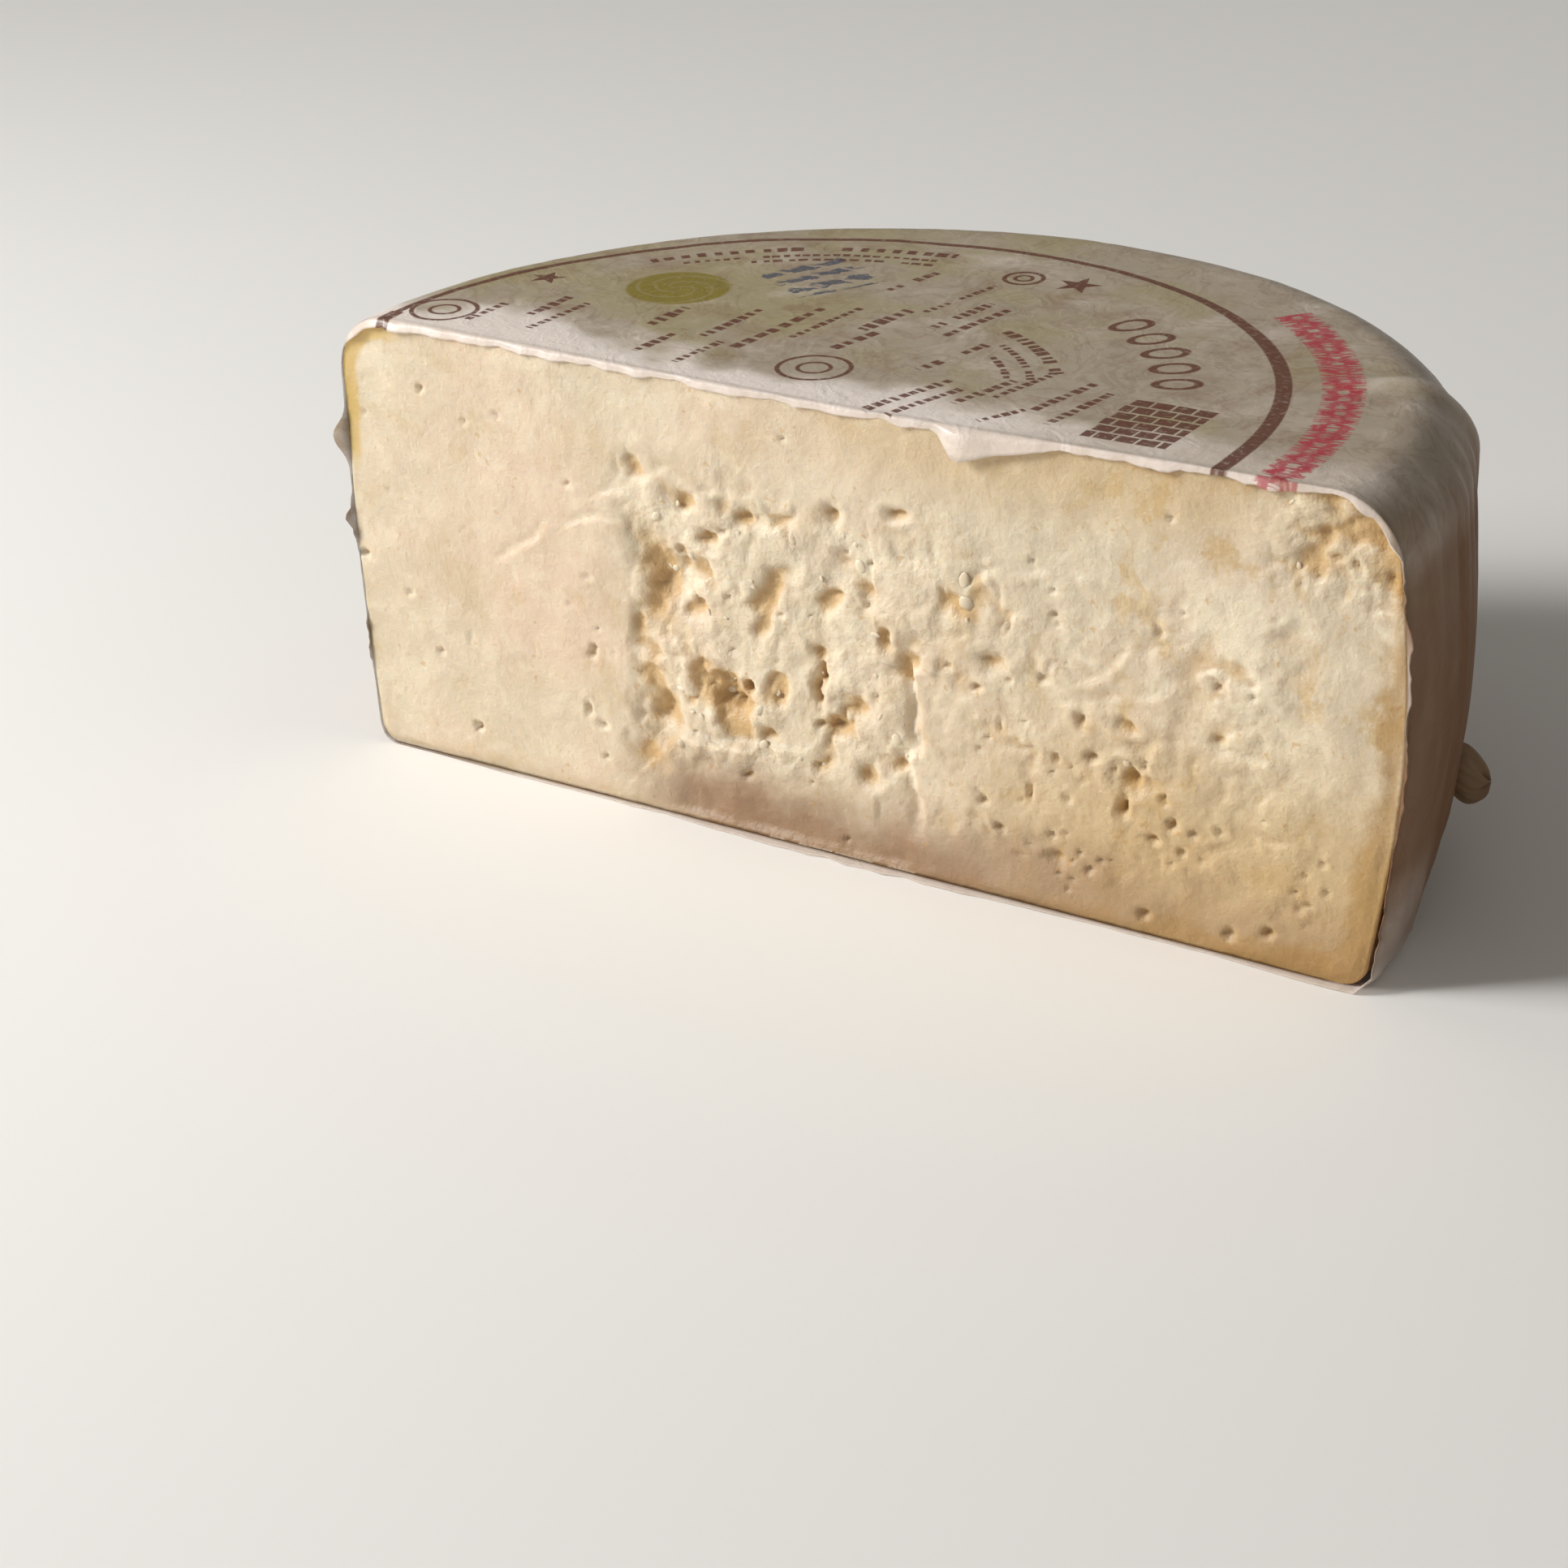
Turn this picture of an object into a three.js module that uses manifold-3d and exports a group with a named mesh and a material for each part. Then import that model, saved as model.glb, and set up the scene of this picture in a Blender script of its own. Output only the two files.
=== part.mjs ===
// Half a wheel of pressed cheese, still in the wrapping film that was cut through with it.
//
// The wheel is a short round drum: its shoulder is rounded, its foot is nearly square, its side swells
// and its top has sunk a little in the middle. A knife has taken the front of it away, just in front of
// the axis. The film clings all round it, runs under it, and is open at the cut. What was left of the
// film is gathered at the back into a neck with a tuft, low on the side.
//
// Millimetres, +Z up. The cut face looks along -Y, and the round side stands behind it, towards +Y.
// The origin is the middle of the bounding box, on the surface that the film rests on.

import * as THREE from "three";
import { mergeVertices } from "three/addons/utils/BufferGeometryUtils.js";
import Module from "manifold-3d";

// The cheese.
const WHEEL_RADIUS = 104.5; // where the side meets the shoulder
const WHEEL_HEIGHT = 84; // from the flat bottom to the top's highest ring, inside the shoulder
const CUT_OFFSET = 5; // how far in front of the axis the knife went down
const SHOULDER_RADIUS = 11;
const FOOT_RADIUS = 4;
const FOOT_TAPER = 2.5; // how much narrower the wheel is where the side meets the foot
const SIDE_SWELL = 2; // how much further out than a straight side it stands, halfway up
const TOP_DISH = 1; // how far the middle of the top has sunk

// The wrapping film.
const FILM_THICKNESS = 0.4;
const FILM_GAP = 0.3; // clearance all round the cheese

// The film's gathered end.
const GATHER_ANGLE = 26; // degrees from +X towards +Y, round the wheel's axis
const GATHER_HEIGHT = 15; // of the neck's middle above the cheese's bottom
const GATHER_REACH = 6.5; // from the film's outside to the tuft's tip
const NECK_RADIUS = 3.2;
const TUFT_RADIUS = 5.2;

// How finely the round shapes are cut into facets.
const TURN_SEGMENTS = 88; // round the whole wheel, before the cut
const EDGE_SEGMENTS = 6; // over the shoulder, and over the foot
const SIDE_SEGMENTS = 8;
const TOP_SEGMENTS = 4;
const GATHER_SEGMENTS = 14; // round the neck and the tuft
const TUFT_SEGMENTS = 9; // along the tuft

const wasm = await Module();
wasm.setup();

// A closed three.js geometry as a solid that can be cut and joined.
function toSolid(geometry) {
  const bare = geometry.clone();
  bare.deleteAttribute("normal");
  bare.deleteAttribute("uv");
  const merged = mergeVertices(bare, 1e-4);
  return new wasm.Manifold(
    new wasm.Mesh({
      numProp: 3,
      vertProperties: merged.attributes.position.array,
      triVerts: new Uint32Array(merged.index.array),
    }),
  );
}

// A solid as a three.js geometry again.
function toGeometry(solid) {
  const { vertProperties, triVerts } = solid.getMesh();
  const geometry = new THREE.BufferGeometry();
  geometry.setAttribute("position", new THREE.BufferAttribute(vertProperties, 3));
  geometry.setIndex(new THREE.BufferAttribute(triVerts, 1));
  geometry.computeVertexNormals();
  return geometry;
}

// The cheese's radius at a height between its foot and its shoulder.
function sideRadiusAt(z) {
  const straight = WHEEL_HEIGHT - SHOULDER_RADIUS - FOOT_RADIUS;
  const up = THREE.MathUtils.clamp((z - FOOT_RADIUS) / straight, 0, 1);
  return WHEEL_RADIUS - FOOT_TAPER * (1 - up) + SIDE_SWELL * Math.sin(Math.PI * up);
}

// A quarter turn round (radius, height) centre, from its lowest or outermost point.
function edgeArc(centre, radius, from) {
  return Array.from({ length: EDGE_SEGMENTS + 1 }, (_, i) => {
    const turn = from + (Math.PI / 2) * (i / EDGE_SEGMENTS);
    return new THREE.Vector2(centre.x + radius * Math.cos(turn), centre.y + radius * Math.sin(turn));
  });
}

// The wheel's upright section as (radius, height) points, from the axis at the bottom, out round the
// foot, up the side and over the shoulder to the axis at the top. It is grown outwards by grow.
function wheelSection(grow) {
  const foot = new THREE.Vector2(WHEEL_RADIUS - FOOT_TAPER - FOOT_RADIUS, FOOT_RADIUS);
  const shoulder = new THREE.Vector2(WHEEL_RADIUS - SHOULDER_RADIUS, WHEEL_HEIGHT - SHOULDER_RADIUS);
  const section = [new THREE.Vector2(0, -grow), ...edgeArc(foot, FOOT_RADIUS + grow, -Math.PI / 2)];
  for (let i = 1; i < SIDE_SEGMENTS; i++) {
    const z = THREE.MathUtils.lerp(foot.y, shoulder.y, i / SIDE_SEGMENTS);
    section.push(new THREE.Vector2(sideRadiusAt(z) + grow, z));
  }
  section.push(...edgeArc(shoulder, SHOULDER_RADIUS + grow, 0));
  for (let i = 1; i <= TOP_SEGMENTS; i++) {
    const inwards = i / TOP_SEGMENTS;
    const sunk = TOP_DISH * Math.sin((Math.PI / 2) * inwards) ** 2;
    section.push(new THREE.Vector2(shoulder.x * (1 - inwards), WHEEL_HEIGHT + grow - sunk));
  }
  return section;
}

// The whole wheel, before the cut, grown outwards by grow. Its axis is +Z.
function wheelSolid(grow) {
  const lathe = new THREE.LatheGeometry(wheelSection(grow), TURN_SEGMENTS);
  return toSolid(lathe.rotateX(Math.PI / 2)); // a lathe turns round Y
}

// Everything behind the knife's plane.
function behindTheCut() {
  const size = 4 * (WHEEL_RADIUS + WHEEL_HEIGHT + SIDE_SWELL + GATHER_REACH);
  return toSolid(new THREE.BoxGeometry(size, size, size).translate(0, size / 2 - CUT_OFFSET, 0));
}

// The gathered end's section as (radius, reach) points: a round neck that spreads into a tuft. It
// starts at the wheel's axis, so that its root always goes right through the film's wall.
function gatherSection(root) {
  const tuft = new THREE.SplineCurve([
    new THREE.Vector2(NECK_RADIUS, 0),
    new THREE.Vector2(NECK_RADIUS, 0.15 * GATHER_REACH),
    new THREE.Vector2(TUFT_RADIUS, 0.6 * GATHER_REACH),
    new THREE.Vector2(0.75 * TUFT_RADIUS, 0.95 * GATHER_REACH),
    new THREE.Vector2(0, GATHER_REACH),
  ]);
  return [
    new THREE.Vector2(0, -root),
    new THREE.Vector2(NECK_RADIUS, -root),
    ...tuft.getPoints(TUFT_SEGMENTS),
  ];
}

// The film's gathered end, standing out of the side, with what reaches inside the film cut off.
function gatherSolid(filmInside) {
  const outside = sideRadiusAt(GATHER_HEIGHT) + FILM_GAP + FILM_THICKNESS;
  const lathe = new THREE.LatheGeometry(gatherSection(outside), GATHER_SEGMENTS);
  lathe.rotateZ(-Math.PI / 2); // its axis from +Y to +X
  lathe.translate(outside, 0, GATHER_HEIGHT);
  lathe.rotateZ(THREE.MathUtils.degToRad(GATHER_ANGLE));
  return toSolid(lathe).subtract(filmInside);
}

function makeCheese() {
  const cheese = new THREE.Mesh(
    toGeometry(wheelSolid(0).intersect(behindTheCut())),
    new THREE.MeshStandardMaterial({ color: 0xe6d3ac, roughness: 0.6, metalness: 0 }),
  );
  cheese.name = "cheese_half";
  return cheese;
}

function makeFilm() {
  const inside = wheelSolid(FILM_GAP);
  const outside = wheelSolid(FILM_GAP + FILM_THICKNESS);
  const film = new THREE.Mesh(
    toGeometry(outside.subtract(inside).add(gatherSolid(inside)).intersect(behindTheCut())),
    new THREE.MeshStandardMaterial({ color: 0xb4a88f, roughness: 0.3, metalness: 0 }),
  );
  film.name = "wrapping_film";
  return film;
}

// Sets the group down with the middle of its footprint on the origin.
function standOnOrigin(group) {
  const box = new THREE.Box3().setFromObject(group);
  const middle = box.getCenter(new THREE.Vector3());
  group.position.set(-middle.x, -middle.y, -box.min.z);
  return group;
}

const wheel = new THREE.Group();
wheel.add(makeCheese(), makeFilm());

export default standOnOrigin(wheel);
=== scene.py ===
"""Half a wheel of pressed cheese, cut through and still in its printed wrapping film.

The file is laid out as a Blender add-on. Its operators make the cheese, the flat crumbs of curd on
its torn middle, the film with its gathered end, and the stage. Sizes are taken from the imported
frame or named below. Blender's own unit is the metre. The maths of the cut face is done in
millimetres, with x from the middle of the cut and z from the surface that the wheel rests on.
"""

import math

import bmesh
import bpy
import numpy as np
from bpy.props import FloatProperty, FloatVectorProperty, IntProperty, PointerProperty
from mathutils import Matrix, Vector


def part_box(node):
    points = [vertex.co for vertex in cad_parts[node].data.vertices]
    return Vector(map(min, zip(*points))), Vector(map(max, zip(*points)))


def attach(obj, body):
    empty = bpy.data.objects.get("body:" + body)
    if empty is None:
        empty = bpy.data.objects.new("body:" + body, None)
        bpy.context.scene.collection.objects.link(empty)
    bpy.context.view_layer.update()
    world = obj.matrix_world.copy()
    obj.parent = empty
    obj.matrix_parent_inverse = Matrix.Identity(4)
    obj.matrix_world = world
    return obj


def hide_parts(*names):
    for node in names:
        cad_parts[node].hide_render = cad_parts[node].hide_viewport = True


bl_info = {
    "name": "Cheese Wheel",
    "version": (1, 0, 0),
    "blender": (4, 5, 0),
    "location": "3D View > Sidebar > Cheese",
    "description": "Makes half a wheel of pressed cheese in its wrapping film",
    "category": "Add Mesh",
}

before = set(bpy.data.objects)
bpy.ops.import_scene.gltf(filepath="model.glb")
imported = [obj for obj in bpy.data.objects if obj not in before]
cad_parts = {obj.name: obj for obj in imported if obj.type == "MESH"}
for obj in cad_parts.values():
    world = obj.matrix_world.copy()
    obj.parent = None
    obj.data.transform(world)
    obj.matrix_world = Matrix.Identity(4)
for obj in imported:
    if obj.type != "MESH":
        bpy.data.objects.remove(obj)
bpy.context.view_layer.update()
CHEESE_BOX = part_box("cheese_half")
FILM_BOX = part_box("wrapping_film")

MM = 0.001
CUT_Y = FILM_BOX[0].y  # the knife's plane
CHEESE_BOTTOM = CHEESE_BOX[0].z
CHEESE_HEIGHT = CHEESE_BOX[1].z - CHEESE_BOX[0].z
FILM_GROWTH = CHEESE_BOX[0].z - FILM_BOX[0].z  # from the cheese's outside to the film's


def colour(code):
    """A scene colour from a web colour such as "#e6d3ac"."""
    shares = [int(code[i : i + 2], 16) / 255 for i in (1, 3, 5)]
    return tuple(s / 12.92 if s <= 0.04045 else ((s + 0.055) / 1.055) ** 2.4 for s in shares)


# ---- Settings ----


def length(name, default, description):
    return FloatProperty(name=name, default=default, description=description, unit="LENGTH", precision=5)


def paint(name, code, description):
    return FloatVectorProperty(
        name=name, default=colour(code), description=description, subtype="COLOR", min=0, max=1
    )


def angle(name, degrees, description):
    return FloatProperty(name=name, default=math.radians(degrees), description=description, subtype="ANGLE")


def amount(name, default, description, unit="NONE"):
    return FloatProperty(name=name, default=default, description=description, unit=unit)


def whole(name, default, description):
    return IntProperty(name=name, default=default, description=description)


class WheelSettings(bpy.types.PropertyGroup):
    """The wheel's section, which the cheese and the film share."""

    radius: length("Radius", 0.1045, "Where the side meets the shoulder")
    height: length("Height", CHEESE_HEIGHT, "From the flat bottom to the top's highest ring")
    cut_offset: length("Cut Offset", 0.005, "How far in front of the axis the knife went down")
    shoulder_radius: length("Shoulder Radius", 0.011, "Rounding between the side and the top")
    foot_radius: length("Foot Radius", 0.004, "Rounding between the side and the bottom")
    foot_taper: length("Foot Taper", 0.0025, "How much narrower the wheel is at its foot")
    side_swell: length("Side Swell", 0.002, "How far the side stands out, halfway up")
    top_dish: length("Top Dish", 0.001, "How far the middle of the top has sunk")


class CheeseSettings(bpy.types.PropertyGroup):
    """The cut face and the colours of the paste and the rind."""

    grid: length("Grid", 0.00055, "Distance between the points of the cut face")
    growth: length("Growth", 0.00045, "How much nearer to the film the visible rind is than the solid's")
    eye_density: amount("Eye Density", 30000, "Small eyes per square metre")
    eye_smallest: length("Smallest Eye", 0.0007, "Radius of the smallest scattered eye")
    eye_largest: length("Largest Eye", 0.0016, "Radius of the largest scattered eye")
    eye_seed: whole("Eye Seed", 4, "Which scatter of small eyes")
    paste: paint("Paste", "#cfbfa4", "The pressed curd where the knife cut it smooth")
    rosy: paint("Rosy Paste", "#d8bfa5", "The warmer patches of the paste")
    curd: paint("Curd", "#e3d6bb", "Fresh curd where the knife tore it")
    # Also painted over the lower right half as painted shade.
    ochre: paint("Ochre Paste", "#c0a16d", "Drier, yellower patches of the paste")
    # Partly the curd's own golden tone and partly painted shade: the paste turns to this colour by how far
    # it lies below its surroundings. It also marks the small specks.
    hollow: paint("Hollow", "#bf9450", "The inside of eyes and torn hollows")
    # Painted shade: the paste turns to this darker mauve brown along the bottom, where the cheese meets the
    # floor.
    bottom_band: paint("Damp Paste", "#957558", "The damp paste along the bottom")
    rind: paint("Rind", "#a9803e", "The thin rind along the outline")
    yellow_rind: paint("Yellow Rind", "#c8a860", "The rind that shows at the upper left")
    old_rind: paint("Old Rind", "#7d5a34", "The rind's outside, under the film")


class CrumbSettings(bpy.types.PropertyGroup):
    """The flat crumbs of curd on the torn parts."""

    density: amount("Density", 17000, "Crumbs per square metre")
    smallest: length("Smallest Crumb", 0.00045, "Radius of the smallest crumb")
    largest: length("Largest Crumb", 0.0013, "Radius of the largest crumb")
    seed: whole("Crumb Seed", 11, "Which scatter of crumbs")


class FilmSettings(bpy.types.PropertyGroup):
    """The wrapping film, its gathered end and its print."""

    thickness: length("Thickness", 0.0002, "The film's thickness")
    columns: whole("Columns", 236, "Points round the half turn")
    gather_angle: angle("Gather Angle", 26, "From +X towards +Y")
    gather_height: length("Gather Height", 0.015, "Of the gathered neck above the cheese's bottom")
    gather_reach: length("Gather Reach", 0.0078, "From the film's side to the tuft's tip")
    neck_radius: length("Neck Radius", 0.0032, "Radius of the gathered neck")
    tuft_radius: length("Tuft Radius", 0.0051, "Radius of the tuft")
    veil: paint("Veil", "#afa08c", "The film lying on the rind")
    olive: paint("Olive", "#a4976a", "Patches where the rind shows through")
    # Partly the brown rind under the film and partly painted shade: darker and browner than the film over
    # the rind, as the side looks in shade under a warm bounce. It also marks darker patches and veins on
    # the top.
    side: paint("Side", "#784e24", "The film on the side, over the darker rind")
    # Also the colour of the painted highlight along the top's front edge and in streaks on the right lip.
    loose: paint("Loose Film", "#f3e6db", "Film that stands off the cheese")
    brown_ink: paint("Brown Ink", "#5e2604", "Most of the print")
    seal_ink: paint("Seal Ink", "#857406", "The round seal")
    blue_ink: paint("Blue Ink", "#474c5a", "The slanted bars")
    red_ink: paint("Red Ink", "#b30d33", "The ribbon outside the ring")


class StageSettings(bpy.types.PropertyGroup):
    """The floor, the lights and the camera."""

    floor_colour: paint("Floor", "#f1efeb", "The plain floor")
    floor_radius: length("Floor Radius", 12, "Radius of the round floor")
    lens: amount("Lens", 79.53, "Focal length in mm on a 36 mm sensor")
    azimuth: angle("Azimuth", 33.69, "From the front of the cut towards +X")
    elevation: angle("Elevation", 25.16, "Up from the floor")
    roll: angle("Roll", -1.92, "About the line of view")
    distance: length("Distance", 0.6417, "From the camera to the point it looks at")
    key_power: amount("Key Power", 8.6, "Of the nearby half of the key light", "POWER")
    fill_power: amount("Fill Power", 0.5, "Of the wide light in front", "POWER")
    sun_power: amount("Sun Power", 1.35, "Of the distant half of the key light")
    ambient: amount("Ambient", 0.22, "Strength of the plain surroundings")


# ---- Noise and distances on arrays ----


def smooth(low, high, x):
    """0 below low, 1 above high, and a smooth step between."""
    t = np.clip((x - low) / (high - low), 0, 1)
    return t * t * (3 - 2 * t)


def hashed(i, j, seed):
    """A number from 0 to 1 for a lattice cell, which looks random and is always the same."""
    mixed = np.sin(i * 127.1 + j * 311.7 + seed * 74.7) * 43758.5453
    return mixed - np.floor(mixed)


def waves(x, y, size, seed):
    """Smooth noise from -1 to 1 whose lumps are about size across."""
    i, j = np.floor(x / size), np.floor(y / size)
    a, b = smooth(0, 1, x / size - i), smooth(0, 1, y / size - j)
    low = hashed(i, j, seed) * (1 - a) + hashed(i + 1, j, seed) * a
    high = hashed(i, j + 1, seed) * (1 - a) + hashed(i + 1, j + 1, seed) * a
    return 2 * (low * (1 - b) + high * b) - 1


def rough(x, y, size, seed, octaves=3):
    """Noise from about -1 to 1, with finer lumps on the coarse ones. Each octave is turned a little."""
    total, strength = 0, 0.55
    for octave in range(octaves):
        c, s = math.cos(0.9 * octave + 0.3), math.sin(0.9 * octave + 0.3)
        total += strength * waves(c * x - s * y, s * x + c * y, size / 2**octave, seed + octave)
        strength /= 1.9
    return total


def hump(x, middle, width):
    """1 at middle, falling off as a bell to nearly 0 at twice width from it."""
    return np.exp(-(((x - middle) / width) ** 2))


def patch(x, z, middle_x, middle_z, width, height):
    """1 at the middle of an oval patch, falling off as a bell round it."""
    return np.exp(-(((x - middle_x) / width) ** 2) - ((z - middle_z) / height) ** 2)


def from_line(x, z, points):
    """Distance from a bent line through points, and the same with a sign: positive right of its run."""
    best, signed = np.full(np.shape(x), 1e9), np.zeros(np.shape(x))
    for (x0, z0), (x1, z1) in zip(points, points[1:]):
        run, rise = x1 - x0, z1 - z0
        along = np.clip(((x - x0) * run + (z - z0) * rise) / (run * run + rise * rise), 0, 1)
        away = np.hypot(x - x0 - along * run, z - z0 - along * rise)
        right = ((x - x0) * rise - (z - z0) * run) / math.hypot(run, rise)
        nearer = away < best
        signed = np.where(nearer, np.where(right > 0, away, -away), signed)
        best = np.where(nearer, away, best)
    return best, signed


# ---- The wheel's section, shared by the cheese and the film ----


def side_outline(wheel, grow, samples):
    """(radius, height) arrays up the wheel's foot, side and shoulder, evenly along their length."""
    foot, shoulder = wheel.foot_radius, wheel.shoulder_radius
    low, high = foot, wheel.height - shoulder
    turn = np.linspace(-math.pi / 2, 0, 24)
    up = np.linspace(0, 1, 120)[1:-1]
    over = np.linspace(0, math.pi / 2, 48)
    r = np.concatenate(
        [
            wheel.radius - wheel.foot_taper - foot + (foot + grow) * np.cos(turn),
            wheel.radius - wheel.foot_taper * (1 - up) + wheel.side_swell * np.sin(math.pi * up) + grow,
            wheel.radius - shoulder + (shoulder + grow) * np.cos(over),
        ]
    )
    z = np.concatenate(
        [
            low + (foot + grow) * np.sin(turn),
            low + (high - low) * up,
            high + (shoulder + grow) * np.sin(over),
        ]
    )
    run = np.concatenate([[0], np.cumsum(np.hypot(np.diff(r), np.diff(z)))])
    even = np.linspace(0, run[-1], samples)
    return np.interp(even, run, r), np.interp(even, run, z)


def uneven_side(x, y, z, wheel):
    """How far the real wheel's side stands out past a true round one: fuller at the right of the cut
    and over the gathered end, flatter at its left, and never quite round. Metres."""
    turn = np.arctan2(y - CUT_Y - wheel.cut_offset, x)
    up = np.clip(z / wheel.height, 0, 1)
    belly = np.sin(math.pi * up)
    full = 1.3 * hump(turn, 0, 0.35) - 1.9 * hump(np.abs(turn), math.pi, 0.45)
    full += 0.7 * hump(turn, 0.6, 0.3)
    tucked = 2.6 * smooth(0.12, 0.4, turn) * smooth(3.0, 2.6, turn) * smooth(17, 0, z / MM) ** 1.5
    return MM * (belly * (full + 0.5 * waves(turn * 105, z / MM, 55, 21)) - tucked)


def top_height(x, y, wheel, grow):
    """The top's height above the cheese's bottom, which has sunk towards the wheel's axis."""
    away = np.hypot(x, y - CUT_Y - wheel.cut_offset)
    inwards = np.clip(1 - away / (wheel.radius - wheel.shoulder_radius), 0, 1)
    return wheel.height + grow - wheel.top_dish * np.sin(math.pi / 2 * inwards) ** 2


def wheel_grid(wheel, grow, turns, bottom, side, top):
    """The wheel's whole outside behind the cut, as (rows, columns) arrays of x, y and z in metres.

    Rows run from the middle of the cut's bottom edge out across the bottom, up the side and over the
    top to the middle of the cut's top edge. Columns run from the right end of the cut to its left end,
    at the angles in turns. bottom and top are the shares, from 0 to 1, of the flat rows.
    """
    radius, height = side_outline(wheel, grow, side)
    share = np.concatenate([bottom[:-1], np.ones(side), top[-2::-1]])
    radius = np.concatenate([bottom[:-1] * radius[0], radius, top[-2::-1] * radius[-1]])
    height = np.pad(height, (len(bottom) - 1, len(top) - 1), "edge")
    behind = (share * wheel.cut_offset)[:, None]
    squared = radius[:, None] ** 2 - (behind * np.cos(turns)) ** 2
    reach = behind * np.sin(turns) + np.sqrt(np.maximum(squared, 0))
    x, y = reach * np.cos(turns), CUT_Y + reach * np.sin(turns)
    z = np.broadcast_to(height[:, None], x.shape).copy()
    fuller = uneven_side(x, y, z, wheel) * (share[:, None] >= 1)
    x, y = x + fuller * np.cos(turns), y + fuller * np.sin(turns)
    over = slice(len(bottom) - 1 + side, None)
    z[over] = top_height(x[over], y[over], wheel, grow)
    return x, y, z


def grid_faces(rows, columns, first=0, turned=False):
    """Quads over a grid of points that starts at index first."""
    i, j = np.meshgrid(np.arange(rows - 1), np.arange(columns - 1), indexing="ij")
    a = (first + i * columns + j).ravel()
    quads = np.stack([a, a + 1, a + columns + 1, a + columns], 1)
    return quads[:, ::-1] if turned else quads


# ---- Meshes ----


def closed_mesh(name, points, faces, numbers):
    """A smooth mesh of merged points whose faces point outwards. numbers are stored by name."""
    mesh = bpy.data.meshes.new(name)
    mesh.from_pydata(points.tolist(), [], faces)
    for key, values in numbers.items():
        number(mesh, key, values)
    work = bmesh.new()
    work.from_mesh(mesh)
    bmesh.ops.remove_doubles(work, verts=work.verts, dist=2e-6)
    bmesh.ops.dissolve_degenerate(work, edges=work.edges, dist=1e-7)
    bmesh.ops.recalc_face_normals(work, faces=work.faces)
    work.to_mesh(mesh)
    work.free()
    shade_smooth(mesh)
    return mesh


def shade_smooth(mesh):
    mesh.polygons.foreach_set("use_smooth", np.ones(len(mesh.polygons), bool))


def shown(name, mesh, material):
    """A finished piece at the origin, wearing one material."""
    mesh.materials.clear()
    mesh.materials.append(material)
    piece = bpy.data.objects.new(name, mesh)
    bpy.context.scene.collection.objects.link(piece)
    return piece


def places(mesh):
    """The mesh's points as an array of x, y, z rows."""
    flat = np.empty(len(mesh.vertices) * 3)
    mesh.vertices.foreach_get("co", flat)
    return flat.reshape(-1, 3)


def set_places(mesh, points):
    mesh.vertices.foreach_set("co", points.ravel())
    mesh.update()


def number(mesh, name, values):
    """Stores one number for each point, for the material and the node trees to read."""
    layer = mesh.attributes.get(name) or mesh.attributes.new(name, "FLOAT", "POINT")
    layer.data.foreach_set("value", np.ascontiguousarray(values, np.float32))


def stored(mesh, name):
    """The numbers that a mesh stores at its points."""
    values = np.empty(len(mesh.vertices), np.float32)
    mesh.attributes[name].data.foreach_get("value", values)
    return values


# ---- Node trees ----


class Field:
    """A node's socket with arithmetic, so that maths on values reads as an expression."""

    def __init__(self, nodes, socket):
        self.nodes, self.socket = nodes, socket

    def math(self, operation, *others):
        inputs = dict(enumerate((self, *others)))
        return self.nodes.add("ShaderNodeMath", {"operation": operation}, inputs)

    def __add__(self, other):
        return self.math("ADD", other)

    __radd__ = __add__

    def __mul__(self, other):
        return self.math("MULTIPLY", other)

    __rmul__ = __mul__

    def __sub__(self, other):
        return self.math("SUBTRACT", other)

    def __rsub__(self, other):
        return self.math("MULTIPLY_ADD", -1.0, other)

    def __truediv__(self, other):
        return self.math("DIVIDE", other)

    def __abs__(self):
        return self.math("ABSOLUTE")

    def over(self, other):
        """1 where this is more than other, and 0 elsewhere."""
        return self.math("GREATER_THAN", other)

    def under(self, other):
        return self.math("LESS_THAN", other)

    def most(self, other):
        return self.math("MAXIMUM", other)

    def step(self, low, high):
        """0 at low and 1 at high, with a smooth step between. low may be the larger."""
        settings = {"interpolation_type": "SMOOTHSTEP", "clamp": False}
        inputs = {"Value": self, "From Min": low, "From Max": high}
        return self.nodes.add("ShaderNodeMapRange", settings, inputs)


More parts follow.
